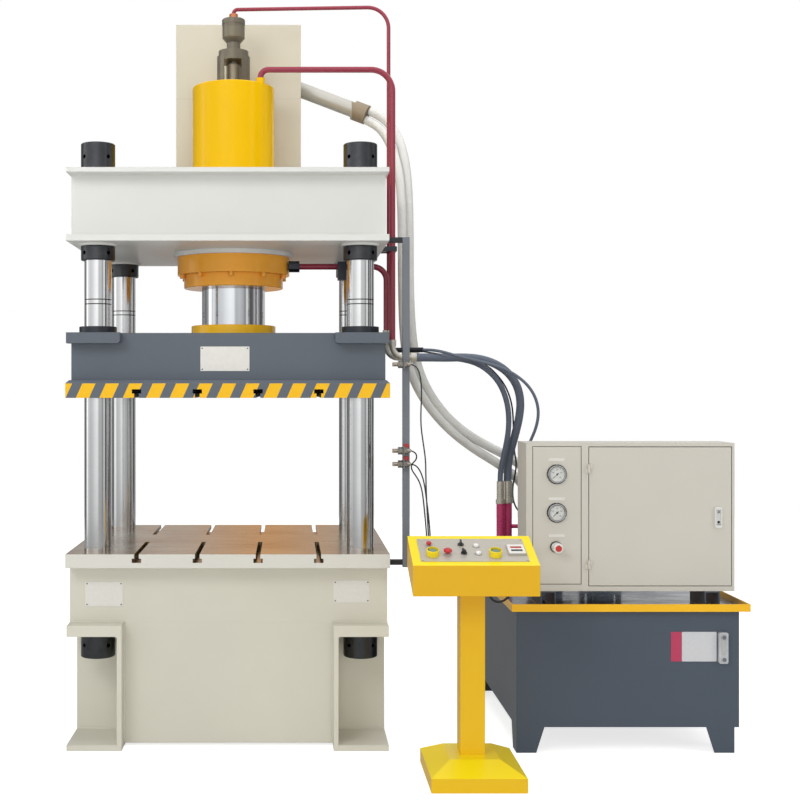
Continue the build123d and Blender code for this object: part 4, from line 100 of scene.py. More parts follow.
CABLE_1_ROUTE = (
    (0.798, -0.491, 1.668), (0.815, -0.492, 1.663), (0.831, -0.495, 1.643), (0.84, -0.508, 1.602),
    (0.841, -0.533, 1.54), (0.834, -0.562, 1.47), (0.831, -0.59, 1.4), (0.838, -0.618, 1.33),
    (0.845, -0.648, 1.262), (0.843, -0.676, 1.192), (0.842, -0.702, 1.122), (0.843, -0.72, 1.062),
    (0.844, -0.735, 1.01), (0.845, -0.747, 0.968), (0.846, -0.758, 0.934), (0.846, -0.769, 0.91),
    (0.846, -0.785, 0.893), (0.846, -0.805, 0.893),
)
CABLE_2_ROUTE = (
    (0.798, -0.491, 1.29), (0.816, -0.49, 1.284), (0.825, -0.484, 1.266), (0.821, -0.477, 1.248),
    (0.808, -0.473, 1.236), (0.8, -0.477, 1.22), (0.803, -0.494, 1.203), (0.815, -0.53, 1.184),
    (0.827, -0.574, 1.16), (0.834, -0.616, 1.124), (0.836, -0.652, 1.08), (0.837, -0.684, 1.04),
    (0.838, -0.71, 1.0), (0.839, -0.732, 0.962), (0.839, -0.752, 0.928), (0.839, -0.768, 0.907),
    (0.839, -0.785, 0.893), (0.839, -0.805, 0.893),
)
CABLE_3_ROUTE = (
    (0.798, -0.491, 1.232), (0.816, -0.493, 1.228), (0.831, -0.503, 1.213), (0.84, -0.526, 1.192),
    (0.846, -0.554, 1.166), (0.849, -0.586, 1.136), (0.850, -0.62, 1.102), (0.851, -0.66, 1.064),
    (0.852, -0.698, 1.024), (0.853, -0.732, 0.98), (0.853, -0.752, 0.938), (0.853, -0.766, 0.908),
    (0.853, -0.785, 0.893), (0.853, -0.805, 0.893),
)
CONSOLE_CABLE_ROUTE = (
    (1.06, -0.803, 0.88), (1.06, -0.779, 0.88), (1.063, -0.753, 0.868), (1.07, -0.733, 0.842),
    (1.079, -0.719, 0.806), (1.089, -0.707, 0.764), (1.099, -0.696, 0.72), (1.112, -0.682, 0.684),
    (1.132, -0.664, 0.662), (1.158, -0.642, 0.654), (1.186, -0.616, 0.657), (1.208, -0.588, 0.668),
    (1.222, -0.56, 0.684), (1.23, -0.536, 0.698), (1.237, -0.513, 0.709), (1.246, -0.492, 0.716),
    (1.26, -0.475, 0.719), (1.281, -0.468, 0.72),
)

# Faces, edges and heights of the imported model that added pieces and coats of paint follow
BASE_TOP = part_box("base_frame")[1].z
CROSSHEAD_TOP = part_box("crosshead")[1].z
CROSSHEAD_FLOOR = 2.228
WEB_FACE_Y = 0.49
WEB_HALF_X = 0.688
TABLE_HALF_X = 0.6985
TABLE_HALF_Y = 0.5735
COLUMN_GROOVES = (1.954, 1.934)
FLANGE_COAT_Z = 2.1805
TANK_SEAM_Z = 2.992
OUTLET_PIPE_X = 0.3245
OUTLET_CLAMP_X = 0.578
VALVE_BAND_Z = 3.2495
VALVE_BAND_HALF = 0.0275
VALVE_NUT_Z = 3.3198
MAST_X = 0.779
MAST_HALF = 0.01575
MAST_FACE_Y = -0.476
SENSOR_FACE_X = 0.7235
SENSOR_Y = -0.491
SENSOR_HEIGHTS = (1.668, 1.290, 1.232)
SENSOR_NUTS = ((0.7415, 0.0085), (0.7525, 0.0110), (0.7695, 0.0100))      # left end and height
SENSOR_WASHERS_X = (0.7500, 0.7795)
CLIP_HEIGHTS = (1.310, 1.255)
BASE_FACE_Y = -0.49
POCKET_X = 0.457
POCKET_TOP = 0.54
PLATEN_FACE_Y = -0.51
PLATEN_FLANGE_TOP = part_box("platen")[0].z + 0.063
PLATEN_FLANGE_Y = -0.5745
PLATEN_SLOTS_X = (-0.393, -0.131, 0.131, 0.393)
SLOT_OUTLINE = ((-0.0088, 1.5225), (0.0088, 1.5225), (0.0088, 1.5422), (0.0186, 1.5422),
                (0.0186, 1.5582), (-0.0186, 1.5582), (-0.0186, 1.5422), (-0.0088, 1.5422))
STRIPE_LEAN = -0.45
STRIPE_START = 0.626
STRIPE_SHARE = 0.565
TANK_FACE_Y = -0.6
CABINET_FACE_Y = -0.561
CONSOLE_TILT = math.radians(20.3)
CONSOLE_EDGE = Vector((1.001, -1.055, 0.868))
GAUGE_X = 1.421
GAUGE_HEIGHTS = (1.192, 1.026)
KNOB_PLACE = (1.417, 0.878)
GAUGE_PANEL = (("X", 1.422, 0.105), ("Z", 1.0145, 0.2975))               # middle and half size
LABEL_HEIGHTS = (1.255, 1.086, 0.927)
LOCK_PLACE = (2.118, 1.006)
LOCK_FACE_Y = -0.5696
LID_FACE_Z = 0.615
LAMP_PLACES = ((0.019, 0.156), (0.020, 0.092))
DISPLAY_PLACE = (0.175, 0.120)
FRONTWARD = Matrix.Rotation(math.pi / 2, 4, "X")
CORNERS = ((-1, -1), (-1, 1), (1, -1), (1, 1))


def linear(hex_colour):
    """An sRGB hex value as the linear colour and alpha that Blender takes."""
    channels = [int(hex_colour[i:i + 2], 16) / 255 for i in (1, 3, 5)]
    return tuple(c / 12.92 if c <= 0.04045 else ((c + 0.055) / 1.055) ** 2.4 for c in channels) + (1.0,)


def per_metre(size_mm):
    """Pattern scale for a feature of that size."""
    return 1000.0 / size_mm


# ---------------------------------------------------------------- settings

class PressPaints(bpy.types.PropertyGroup):
    """Paint colours that a user would change"""
    base: FloatVectorProperty(name="Base paint", description="Enamel of the base and the fill tank",
                              subtype="COLOR", size=4, min=0, max=1, default=linear("#D4D1C3"))
    crosshead: FloatVectorProperty(name="Crosshead paint", description="Enamel of the crosshead",
                                   subtype="COLOR", size=4, min=0, max=1, default=linear("#DCDCD8"))
    slate: FloatVectorProperty(name="Slate paint", description="Enamel of the platen and the oil tank",
                               subtype="COLOR", size=4, min=0, max=1, default=linear("#5D646D"))
    yellow: FloatVectorProperty(name="Cylinder yellow", description="Gloss enamel of the cylinder",
                                subtype="COLOR", size=4, min=0, max=1, default=linear("#E8B700"))
    console: FloatVectorProperty(name="Pedestal yellow", description="Enamel of the pedestal",
                                 subtype="COLOR", size=4, min=0, max=1, default=linear("#E6B216"))
    cabinet: FloatVectorProperty(name="Cabinet coating", description="Powder coating of the cabinet",
                                 subtype="COLOR", size=4, min=0, max=1, default=linear("#CBC7BC"))
    pipes: FloatVectorProperty(name="Pipe paint", description="Enamel of the steel pipes",
                               subtype="COLOR", size=4, min=0, max=1, default=linear("#8F2B3F"))


class PressSizes(bpy.types.PropertyGroup):
    """Sizes that a user would change"""
    stripe_period: FloatProperty(name="Stripe period", description="One yellow and one dark stripe",
                                 unit="LENGTH", subtype="DISTANCE", default=0.101, min=0.02)
    rib_pitch: FloatProperty(name="Rib pitch", description="Pitch of the return hoses' spiral rib",
                             unit="LENGTH", subtype="DISTANCE", default=0.009, min=0.004)
    rib_height: FloatProperty(name="Rib height", description="Height of the return hoses' spiral rib",
                              unit="LENGTH", subtype="DISTANCE", default=0.0007, min=0.0)
    soft_edge: FloatProperty(name="Soft edge", description="Radius of paint over a sheet edge",
                             unit="LENGTH", subtype="DISTANCE", default=0.0025, min=0.0)
    plate_thickness: FloatProperty(name="Plate thickness", description="Thickness of the blank plates",
                                   unit="LENGTH", subtype="DISTANCE", default=0.0015, min=0.0005)


# ---------------------------------------------------------------- node helpers

def feed(tree, target, inputs):
    """Sets a node's inputs to values, or links outputs to them; a node stands for its first output."""
    for name, value in inputs.items():
        if isinstance(value, bpy.types.Node):
            value = value.outputs[0]
        if isinstance(value, bpy.types.NodeSocket):
            tree.links.new(value, target.inputs[name])
        else:
            target.inputs[name].default_value = value


def node(tree, kind, inputs=None, **settings):
    """Adds a node with its settings, and its inputs as values or links."""
    made = tree.nodes.new(kind)
    for name, value in settings.items():
        setattr(made, name, value)
    feed(tree, made, inputs or {})
    return made


def new_material(name):
    """A material with one Principled shader, and its object coordinates."""
    material = bpy.data.materials.new(name)
    material.use_nodes = True
    tree = material.node_tree
    tree.nodes.clear()
    output = node(tree, "ShaderNodeOutputMaterial")
    shader = node(tree, "ShaderNodeBsdfPrincipled")
    tree.links.new(shader.outputs["BSDF"], output.inputs["Surface"])
    place = node(tree, "ShaderNodeTexCoord").outputs["Object"]
    return material, tree, shader, place


def shader_parts(material):
    """A finished material's tree, its shader and its object coordinates."""
    tree = material.node_tree
    shader = next(n for n in tree.nodes if n.type == "BSDF_PRINCIPLED")
    place = next(n for n in tree.nodes if n.type == "TEX_COORD").outputs["Object"]
    return tree, shader, place


def add_coat(tree, shader, share, colour):
    """Lays a colour over what the shader shows, where share is 1."""
    before = shader.inputs["Base Color"].links[0].from_socket
    both = node(tree, "ShaderNodeMix", {0: share, 6: before, 7: colour}, data_type="RGBA")
    feed(tree, shader, {"Base Color": both.outputs[2]})


def mottled(tree, pattern, colour, darkest, dark_at=0.3, light_at=0.7):
    """A colour that a pattern darkens, down to a share of itself."""
    tone = node(tree, "ShaderNodeMapRange", {"Value": pattern, "From Min": dark_at, "From Max": light_at,
                                             "To Min": darkest, "To Max": 1.0})
    return node(tree, "ShaderNodeMix", {0: 1.0, 6: colour, 7: tone},
                data_type="RGBA", blend_type="MULTIPLY").outputs[2]


# ---------------------------------------------------------------- paints

def sprayed_enamel(name, colour, roughness=0.36, coat=0.0, drift=0.04, peel_mm=7.0, shine=0.35):
    """Alkyd enamel sprayed on steel plate: a slow drift in tone, orange peel in the gloss, and
    paint that draws back to a soft edge where two plates meet."""
    material, tree, shader, place = new_material(name)
    cloud = node(tree, "ShaderNodeTexNoise", {"Vector": place, "Scale": per_metre(420), "Detail": 3.0})
    peel = node(tree, "ShaderNodeTexNoise", {"Vector": place, "Scale": per_metre(peel_mm), "Detail": 1.0})
    sheen = node(tree, "ShaderNodeMapRange", {"Value": peel, "From Min": 0.35, "From Max": 0.65,
                                              "To Min": roughness - 0.02, "To Max": roughness + 0.03})
    soft = node(tree, "ShaderNodeBevel", {"Radius": bpy.context.scene.press_sizes.soft_edge}, samples=4)
    skin = node(tree, "ShaderNodeBump", {"Height": peel, "Strength": 0.02,
                                         "Distance": 0.0004, "Normal": soft})
    feed(tree, shader, {"Base Color": mottled(tree, cloud, colour, 1.0 - drift), "Roughness": sheen,
                        "Specular IOR Level": shine, "Normal": skin,
                        "Coat Weight": coat, "Coat Roughness": 0.06})
    return material


def weld_seam(material, height, half_width=0.002):
    """A ground weld across sheet: a fine line that the paint doesn't quite level."""
    tree, shader, place = shader_parts(material)
    z = node(tree, "ShaderNodeSeparateXYZ", {"Vector": place}).outputs["Z"]
    off = node(tree, "ShaderNodeMath", {0: z, 1: height}, operation="SUBTRACT")
    away = node(tree, "ShaderNodeMath", {0: off}, operation="ABSOLUTE")
    line = node(tree, "ShaderNodeMapRange", {"Value": away, "From Min": half_width,
                                             "From Max": 0.0, "To Max": 0.35})
    add_coat(tree, shader, line, linear("#8F8A80"))
    return material


def outlet_pipe(material):
    """Drawn steel pipe welded to the fill tank, dull bright, with a brown clamp round its end."""
    tree, shader, place = shader_parts(material)
    x = node(tree, "ShaderNodeSeparateXYZ", {"Vector": place}).outputs["X"]
    pipe = node(tree, "ShaderNodeMath", {0: x, 1: OUTLET_PIPE_X}, operation="GREATER_THAN")
    clamp = node(tree, "ShaderNodeMath", {0: x, 1: OUTLET_CLAMP_X}, operation="GREATER_THAN")
    add_coat(tree, shader, pipe, linear("#C9C7BF"))
    add_coat(tree, shader, clamp, linear("#A0917C"))
    metal = node(tree, "ShaderNodeMath", {0: pipe, 1: 0.7}, operation="MULTIPLY")
    feed(tree, shader, {"Metallic": metal})
    return material


def striped_enamel(name, colour, stripe_colour):
    """Slate enamel with hazard stripes brushed over a mask on the front of the platen's flange."""
    material = sprayed_enamel(name, colour, roughness=0.34)
    tree, shader, place = shader_parts(material)
    axes = node(tree, "ShaderNodeSeparateXYZ", {"Vector": place})
    drop = node(tree, "ShaderNodeMath", {0: axes.outputs["Z"], 1: PLATEN_FLANGE_TOP}, operation="SUBTRACT")
    lean = node(tree, "ShaderNodeMath", {0: drop, 1: STRIPE_LEAN, 2: axes.outputs["X"]},
                operation="MULTIPLY_ADD")
    period = bpy.context.scene.press_sizes.stripe_period
    turns = node(tree, "ShaderNodeMath", {0: lean, 1: 1 / period, 2: STRIPE_START / period},
                 operation="MULTIPLY_ADD")
    part = node(tree, "ShaderNodeMath", {0: turns}, operation="FRACT")
    stripe = node(tree, "ShaderNodeMath", {0: part, 1: STRIPE_SHARE}, operation="LESS_THAN")
    front = node(tree, "ShaderNodeMath", {0: axes.outputs["Y"], 1: PLATEN_FLANGE_Y}, operation="LESS_THAN")
    below = node(tree, "ShaderNodeMath", {0: axes.outputs["Z"], 1: PLATEN_FLANGE_TOP - 0.0005},
                 operation="LESS_THAN")
    masked = node(tree, "ShaderNodeMath", {0: front, 1: below}, operation="MULTIPLY")
    share = node(tree, "ShaderNodeMath", {0: masked, 1: stripe}, operation="MULTIPLY")
    add_coat(tree, shader, share, stripe_colour)
    return material


def two_coat_enamel(name, upper, lower, height):
    """Gloss enamel sprayed in place: a second, deeper coat on the flange below a height."""
    material = sprayed_enamel(name, upper, roughness=0.1, drift=0.03, shine=0.18)
    tree, shader, place = shader_parts(material)
    z = node(tree, "ShaderNodeSeparateXYZ", {"Vector": place}).outputs["Z"]
    share = node(tree, "ShaderNodeMath", {0: z, 1: height}, operation="LESS_THAN")
    add_coat(tree, shader, share, lower)
    return material


def pedestal_enamel(name, colour, painted_light_yellow):
    """Baked enamel on folded sheet, with painted light: the faces that look up are painted a lighter
    lemon yellow, as if lit from above, and the yellow grows lighter towards the foot."""
    material = sprayed_enamel(name, colour, 0.3, 0.1)
    tree, shader, place = shader_parts(material)
    z = node(tree, "ShaderNodeSeparateXYZ", {"Vector": place}).outputs["Z"]
    up = node(tree, "ShaderNodeSeparateXYZ", {"Vector": place.node.outputs["Normal"]}).outputs["Z"]
    low = node(tree, "ShaderNodeMapRange", {"Value": z, "From Min": 0.75, "From Max": 0.05, "To Max": 0.25})
    level = node(tree, "ShaderNodeMapRange", {"Value": up, "From Min": 0.3, "From Max": 0.7})
    # painted light: a lighter yellow on faces that look up, and some of it towards the foot
    share = node(tree, "ShaderNodeMath", {0: low, 1: level}, operation="MAXIMUM")
    add_coat(tree, shader, share, painted_light_yellow)
    return material


def powder_coat(name, colour):
    """Epoxy-polyester powder baked on folded sheet: a fine even pebble that takes the gloss down."""
    material, tree, shader, place = new_material(name)
    pebble = node(tree, "ShaderNodeTexVoronoi", {"Vector": place, "Scale": per_metre(2.4)})
    cloud = node(tree, "ShaderNodeTexNoise", {"Vector": place, "Scale": per_metre(300), "Detail": 2.0})
    toned = mottled(tree, cloud, colour, 0.97)
    soft = node(tree, "ShaderNodeBevel", {"Radius": 0.0015}, samples=4)
    skin = node(tree, "ShaderNodeBump", {"Height": pebble, "Strength": 0.12,
                                         "Distance": 0.0004, "Normal": soft})
    feed(tree, shader, {"Base Color": toned, "Roughness": 0.42, "Normal": skin})
    return material


def panel_joint(material):
    """The shadow in the folded joint round the gauge panel, where no powder reaches."""
    tree, shader, place = shader_parts(material)
    axes = node(tree, "ShaderNodeSeparateXYZ", {"Vector": place})
    gaps = []
    for axis, middle, half in GAUGE_PANEL:
        off = node(tree, "ShaderNodeMath", {0: axes.outputs[axis], 1: middle}, operation="SUBTRACT")
        away = node(tree, "ShaderNodeMath", {0: off}, operation="ABSOLUTE")
        gaps.append(node(tree, "ShaderNodeMath", {0: away, 1: half}, operation="SUBTRACT"))
    outer = node(tree, "ShaderNodeMath", {0: gaps[0], 1: gaps[1]}, operation="MAXIMUM")
    line = node(tree, "ShaderNodeMath", {0: outer, 1: 0.0, 2: 0.0015}, operation="COMPARE")
    front = node(tree, "ShaderNodeMath", {0: axes.outputs["Y"], 1: CABINET_FACE_Y + 0.0035},
                 operation="LESS_THAN")
    both = node(tree, "ShaderNodeMath", {0: line, 1: front}, operation="MULTIPLY")
    add_coat(tree, shader, both, linear("#6F6A60"))
    return material


def mast_enamel(name):
    """Grey enamel on the drawn tube, with its flat-bar arms dipped black."""
    material = sprayed_enamel(name, linear("#72777D"), 0.4)
    tree, shader, place = shader_parts(material)
    x = node(tree, "ShaderNodeSeparateXYZ", {"Vector": place}).outputs["X"]
    away = node(tree, "ShaderNodeMath", {0: x, 1: MAST_X, 2: MAST_HALF}, operation="COMPARE")
    before = shader.inputs["Base Color"].links[0].from_socket
    both = node(tree, "ShaderNodeMix", {0: away, 6: linear("#2C2D2F"), 7: before}, data_type="RGBA")
    feed(tree, shader, {"Base Color": both.outputs[2]})
    return material


# ---------------------------------------------------------------- metals

def ground_chrome(name, colour, roughness, line_mm=3.0, grooves=()):
    """Hard chrome ground between centres: bright, with fine rings round the shaft that spread
    each reflection sideways. Real rings are 0.2 mm apart; they are drawn coarser so they show.
    Narrow dark rings at the given heights mark turned grooves."""
    material, tree, shader, place = new_material(name)
    ringed = node(tree, "ShaderNodeMapping", {"Vector": place, "Scale": (1.5, 1.5, per_metre(line_mm))})
    rings = node(tree, "ShaderNodeTexNoise", {"Vector": ringed, "Scale": 1.0, "Detail": 3.0})
    gloss = node(tree, "ShaderNodeMapRange", {"Value": rings, "From Min": 0.3, "From Max": 0.7,
                                              "To Min": roughness - 0.03, "To Max": roughness + 0.05})
    film = node(tree, "ShaderNodeTexNoise", {"Vector": place, "Scale": per_metre(160), "Detail": 4.0})
    toned = mottled(tree, film, colour, 0.94, dark_at=0.35)
    z = node(tree, "ShaderNodeSeparateXYZ", {"Vector": place}).outputs["Z"]
    for height in grooves:
        cut = node(tree, "ShaderNodeMath", {0: z, 1: height, 2: 0.0022}, operation="COMPARE")
        toned = node(tree, "ShaderNodeMix", {0: cut, 6: toned, 7: linear("#3F3B38")},
                     data_type="RGBA").outputs[2]
    bump = node(tree, "ShaderNodeBump", {"Height": rings, "Strength": 0.03, "Distance": 0.0003})
    feed(tree, shader, {"Base Color": toned, "Metallic": 1.0, "Roughness": gloss, "Normal": bump})
    return material


def milled_table(name, paint, metal):
    """Face-milled cast steel table under a brown film of oil, with painted edges: the cutter's
    tracks run along X, 6 mm apart here, and the film turns the metal warm in patches."""
    material, tree, shader, place = new_material(name)
    tracks = node(tree, "ShaderNodeMapping", {"Vector": place, "Scale": (3.0, per_metre(6), 3.0)})
    cutter = node(tree, "ShaderNodeTexNoise", {"Vector": tracks, "Scale": 1.0, "Detail": 3.0})
    film = node(tree, "ShaderNodeTexNoise", {"Vector": place, "Scale": per_metre(260), "Detail": 5.0})
    stain = node(tree, "ShaderNodeMapRange", {"Value": film, "From Min": 0.38, "From Max": 0.68})
    metal_tone = node(tree, "ShaderNodeMix", {0: stain, 6: metal, 7: linear("#8F7148")}, data_type="RGBA")
    axes = node(tree, "ShaderNodeSeparateXYZ", {"Vector": place})
    facing = node(tree, "ShaderNodeNewGeometry").outputs["Normal"]
    up = node(tree, "ShaderNodeSeparateXYZ", {"Vector": facing}).outputs["Z"]
    flat = node(tree, "ShaderNodeMath", {0: up, 1: 0.7}, operation="GREATER_THAN")
    inside = []
    for axis, reach in (("X", TABLE_HALF_X), ("Y", TABLE_HALF_Y)):
        away = node(tree, "ShaderNodeMath", {0: axes.outputs[axis]}, operation="ABSOLUTE")
        inside.append(node(tree, "ShaderNodeMath", {0: away, 1: reach}, operation="LESS_THAN"))
    cut = node(tree, "ShaderNodeMath", {0: inside[0], 1: inside[1]}, operation="MULTIPLY")
    bare = node(tree, "ShaderNodeMath", {0: flat, 1: cut}, operation="MAXIMUM")
    above = node(tree, "ShaderNodeMath", {0: axes.outputs["Z"], 1: BASE_TOP + 0.002}, operation="GREATER_THAN")
    mask = node(tree, "ShaderNodeMath", {0: bare, 1: above}, operation="MULTIPLY")
    colour = node(tree, "ShaderNodeMix", {0: mask, 6: paint, 7: metal_tone.outputs[2]}, data_type="RGBA")
    gloss = node(tree, "ShaderNodeMapRange", {"Value": cutter, "From Min": 0.3, "From Max": 0.7,
                                              "To Min": 0.16, "To Max": 0.3})
    soft = node(tree, "ShaderNodeBevel", {"Radius": 0.002}, samples=4)
    strength = node(tree, "ShaderNodeMath", {0: mask, 1: 0.12}, operation="MULTIPLY")
    bump = node(tree, "ShaderNodeBump", {"Height": cutter, "Strength": strength,
                                         "Distance": 0.0004, "Normal": soft})
    metallic = node(tree, "ShaderNodeMath", {0: mask, 1: 0.6}, operation="MULTIPLY")
    feed(tree, shader, {"Base Color": colour.outputs[2], "Metallic": metallic,
                        "Roughness": gloss, "Normal": bump})
    return material


def treated_steel(name, colour, roughness, grain_mm=2.0, metallic=1.0, edge=0.0012):
    """Steel with a thin conversion layer, black oxide, phosphate or zinc: the metal still shines
    through it, broken by a fine crystal grain and by handling marks."""
    material, tree, shader, place = new_material(name)
    grain = node(tree, "ShaderNodeTexNoise", {"Vector": place, "Scale": per_metre(grain_mm), "Detail": 2.0})
    marks = node(tree, "ShaderNodeTexNoise", {"Vector": place, "Scale": per_metre(45), "Detail": 5.0,
                                              "Distortion": 0.6})
    toned = mottled(tree, marks, colour, 0.8)
    gloss = node(tree, "ShaderNodeMapRange", {"Value": grain, "From Min": 0.3, "From Max": 0.7,
                                              "To Min": roughness - 0.05, "To Max": roughness + 0.07})
    soft = node(tree, "ShaderNodeBevel", {"Radius": edge}, samples=4)
    bump = node(tree, "ShaderNodeBump", {"Height": grain, "Strength": 0.1, "Distance": 0.0003,
                                         "Normal": soft})
    feed(tree, shader, {"Base Color": toned, "Metallic": metallic, "Roughness": gloss, "Normal": bump})
    return material


def valve_steel(name):
    """Phosphated cast steel, grey-brown and dull, with a turned and oiled band round its head and
    a copper-plated hexagon on top."""
    material = treated_steel(name, linear("#7E7768"), 0.36, 1.6, 0.6)
    tree, shader, place = shader_parts(material)
    z = node(tree, "ShaderNodeSeparateXYZ", {"Vector": place}).outputs["Z"]
    band = node(tree, "ShaderNodeMath", {0: z, 1: VALVE_BAND_Z, 2: VALVE_BAND_HALF}, operation="COMPARE")
    cap = node(tree, "ShaderNodeMath", {0: z, 1: VALVE_NUT_Z}, operation="GREATER_THAN")
    add_coat(tree, shader, band, linear("#807968"))
    add_coat(tree, shader, cap, linear("#C57F55"))
    return material


def threaded_brass(name):
    """Nickel-plated brass barrels with a fine rolled thread along X, 1 mm in the metal and 2 mm
    here, and an orange moulded sensing face at the left end."""
    material, tree, shader, place = new_material(name)
    thread = node(tree, "ShaderNodeTexWave", {"Vector": place, "Scale": per_metre(2) / 2},
                  wave_type="BANDS", bands_direction="X", wave_profile="TRI")
    x = node(tree, "ShaderNodeSeparateXYZ", {"Vector": place}).outputs["X"]
    face = node(tree, "ShaderNodeMath", {0: x, 1: SENSOR_FACE_X}, operation="LESS_THAN")
    colour = node(tree, "ShaderNodeMix", {0: face, 6: linear("#BCB4A6"), 7: linear("#A98E74")},
                  data_type="RGBA")
    plated = node(tree, "ShaderNodeMath", {0: 1.0, 1: face}, operation="SUBTRACT")
    bump = node(tree, "ShaderNodeBump", {"Height": thread.outputs["Fac"], "Strength": 0.4, "Distance": 0.0004})
    feed(tree, shader, {"Base Color": colour.outputs[2], "Metallic": plated,
                        "Roughness": 0.26, "Normal": bump})
    return material


def brushed_panel(name, colour):
    """Anodised aluminium, brushed along X: a satin grain 1 mm apart that drags each highlight."""
    material, tree, shader, place = new_material(name)
    drawn = node(tree, "ShaderNodeMapping", {"Vector": place, "Scale": (12.0, per_metre(1), per_metre(1))})
    grain = node(tree, "ShaderNodeTexNoise", {"Vector": drawn, "Scale": 1.0, "Detail": 2.0})
    toned = mottled(tree, grain, colour, 0.86)
    bump = node(tree, "ShaderNodeBump", {"Height": grain, "Strength": 0.08, "Distance": 0.0002})
    feed(tree, shader, {"Base Color": toned, "Metallic": 0.35, "Roughness": 0.42, "Normal": bump})
    return material


def oily_lid(name):
    """Painted tank lid under a skin of hydraulic oil: dark slate with a wet gloss, wiped in streaks."""
    material, tree, shader, place = new_material(name)
    drawn = node(tree, "ShaderNodeMapping", {"Vector": place, "Scale": (2.0, 7.0, 2.0)})
    wiped = node(tree, "ShaderNodeTexNoise", {"Vector": drawn, "Scale": 2.0, "Detail": 6.0,
                                              "Distortion": 1.2})
    colour = node(tree, "ShaderNodeMix", {0: wiped, 6: linear("#434A54"), 7: linear("#6C747F")},
                  data_type="RGBA")
    gloss = node(tree, "ShaderNodeMapRange", {"Value": wiped, "From Min": 0.35,
                                              "From Max": 0.65, "To Min": 0.12, "To Max": 0.4})
    bump = node(tree, "ShaderNodeBump", {"Height": wiped, "Strength": 0.12, "Distance": 0.002})
    z = node(tree, "ShaderNodeSeparateXYZ", {"Vector": place}).outputs["Z"]
    rail = node(tree, "ShaderNodeMath", {0: z, 1: LID_FACE_Z + 0.002}, operation="GREATER_THAN")
    wet = node(tree, "ShaderNodeMath", {0: z, 1: LID_FACE_Z + 0.002}, operation="LESS_THAN")
    both = node(tree, "ShaderNodeMix", {0: rail, 6: colour.outputs[2], 7: linear("#4B525C")},
                data_type="RGBA")
    matt = node(tree, "ShaderNodeMath", {0: gloss, 1: rail}, operation="MAXIMUM")
    sheen = node(tree, "ShaderNodeMath", {0: matt, 1: 0.45}, operation="MINIMUM")
    coat = node(tree, "ShaderNodeMath", {0: wet, 1: 0.3}, operation="MULTIPLY")
    feed(tree, shader, {"Base Color": both.outputs[2], "Roughness": sheen,
                        "Coat Weight": coat, "Coat Roughness": 0.05,
                        "Normal": bump})
    return material


# ---------------------------------------------------------------- rubber, plastic and glass

def wrapped_rubber(name, colour, roughness=0.5, pitch_mm=38.0):
    """Steam-cured hose rubber: the nylon curing wrap leaves a fine weave and a slow spiral lap,
    so the dark grey skin has a dull sheen broken in bands."""
    material, tree, shader, place = new_material(name)
    lap = node(tree, "ShaderNodeTexWave",
               {"Vector": place, "Scale": per_metre(pitch_mm) / 2, "Distortion": 1.5},
               wave_type="BANDS", bands_direction="DIAGONAL", wave_profile="SAW")
    weave = node(tree, "ShaderNodeTexNoise", {"Vector": place, "Scale": per_metre(1.6), "Detail": 1.0})
    toned = mottled(tree, weave, colour, 0.88)
    both = node(tree, "ShaderNodeMath", {0: lap.outputs["Fac"], 1: 0.5, 2: weave}, operation="MULTIPLY_ADD")
    bump = node(tree, "ShaderNodeBump", {"Height": both, "Strength": 0.2, "Distance": 0.0006})
    feed(tree, shader, {"Base Color": toned, "Roughness": roughness, "IOR": 1.52, "Normal": bump})
    return material


def cable_jacket(name, colour, roughness=0.38):
    """Extruded PVC jacket: smooth and slightly glossy, with faint ripples from the conductors."""
    material, tree, shader, place = new_material(name)
    ripple = node(tree, "ShaderNodeTexNoise", {"Vector": place, "Scale": per_metre(9), "Detail": 1.0})
    gloss = node(tree, "ShaderNodeMapRange", {"Value": ripple, "To Min": roughness - 0.06,
                                              "To Max": roughness + 0.08})
    bump = node(tree, "ShaderNodeBump", {"Height": ripple, "Strength": 0.1, "Distance": 0.0008})
    feed(tree, shader, {"Base Color": colour, "Roughness": gloss, "IOR": 1.53, "Normal": bump})
    return material


def clear_pvc(name):
    """Flexible PVC suction hose, extruded round a helix: milky and half clear, so the background
    and the oil film inside give it pale grey bands."""
    material, tree, shader, place = new_material(name)
    haze = node(tree, "ShaderNodeTexNoise", {"Vector": place, "Scale": per_metre(70), "Detail": 3.0})
    colour = node(tree, "ShaderNodeMix", {0: haze, 6: linear("#D9D8D2"), 7: linear("#F0F0EC")},
                  data_type="RGBA")
    feed(tree, shader, {"Base Color": colour.outputs[2], "Roughness": 0.1, "IOR": 1.53,
                        "Transmission Weight": 0.15, "Coat Weight": 1.0, "Coat Roughness": 0.03})
    return material


def moulded_abs(name, colour, roughness=0.3, glow=0.0):
    """Injection-moulded ABS: even colour right through, a fine spark-eroded grain on a low gloss."""
    material, tree, shader, place = new_material(name)
    grain = node(tree, "ShaderNodeTexNoise", {"Vector": place, "Scale": per_metre(0.9), "Detail": 1.0})
    soft = node(tree, "ShaderNodeBevel", {"Radius": 0.0008}, samples=4)
    bump = node(tree, "ShaderNodeBump", {"Height": grain, "Strength": 0.06, "Distance": 0.0002,
                                         "Normal": soft})
    toned = mottled(tree, grain, colour, 0.95, 0.0, 1.0)
    feed(tree, shader, {"Base Color": toned, "Roughness": roughness, "IOR": 1.53,
                        "Emission Color": colour, "Emission Strength": glow, "Normal": bump})
    return material


def printed_plate(name, colour, roughness=0.3):
    """Enamelled aluminium plate, screen-printed and lacquered: flat pale ground, faint mottling."""
    material, tree, shader, place = new_material(name)
    mottle = node(tree, "ShaderNodeTexNoise", {"Vector": place, "Scale": per_metre(14), "Detail": 3.0})
    toned = mottled(tree, mottle, colour, 0.95)
    soft = node(tree, "ShaderNodeBevel", {"Radius": 0.0005}, samples=4)
    feed(tree, shader, {"Base Color": toned, "Roughness": roughness, "Coat Weight": 0.3,
                        "Coat Roughness": 0.1, "Normal": soft})
    return material


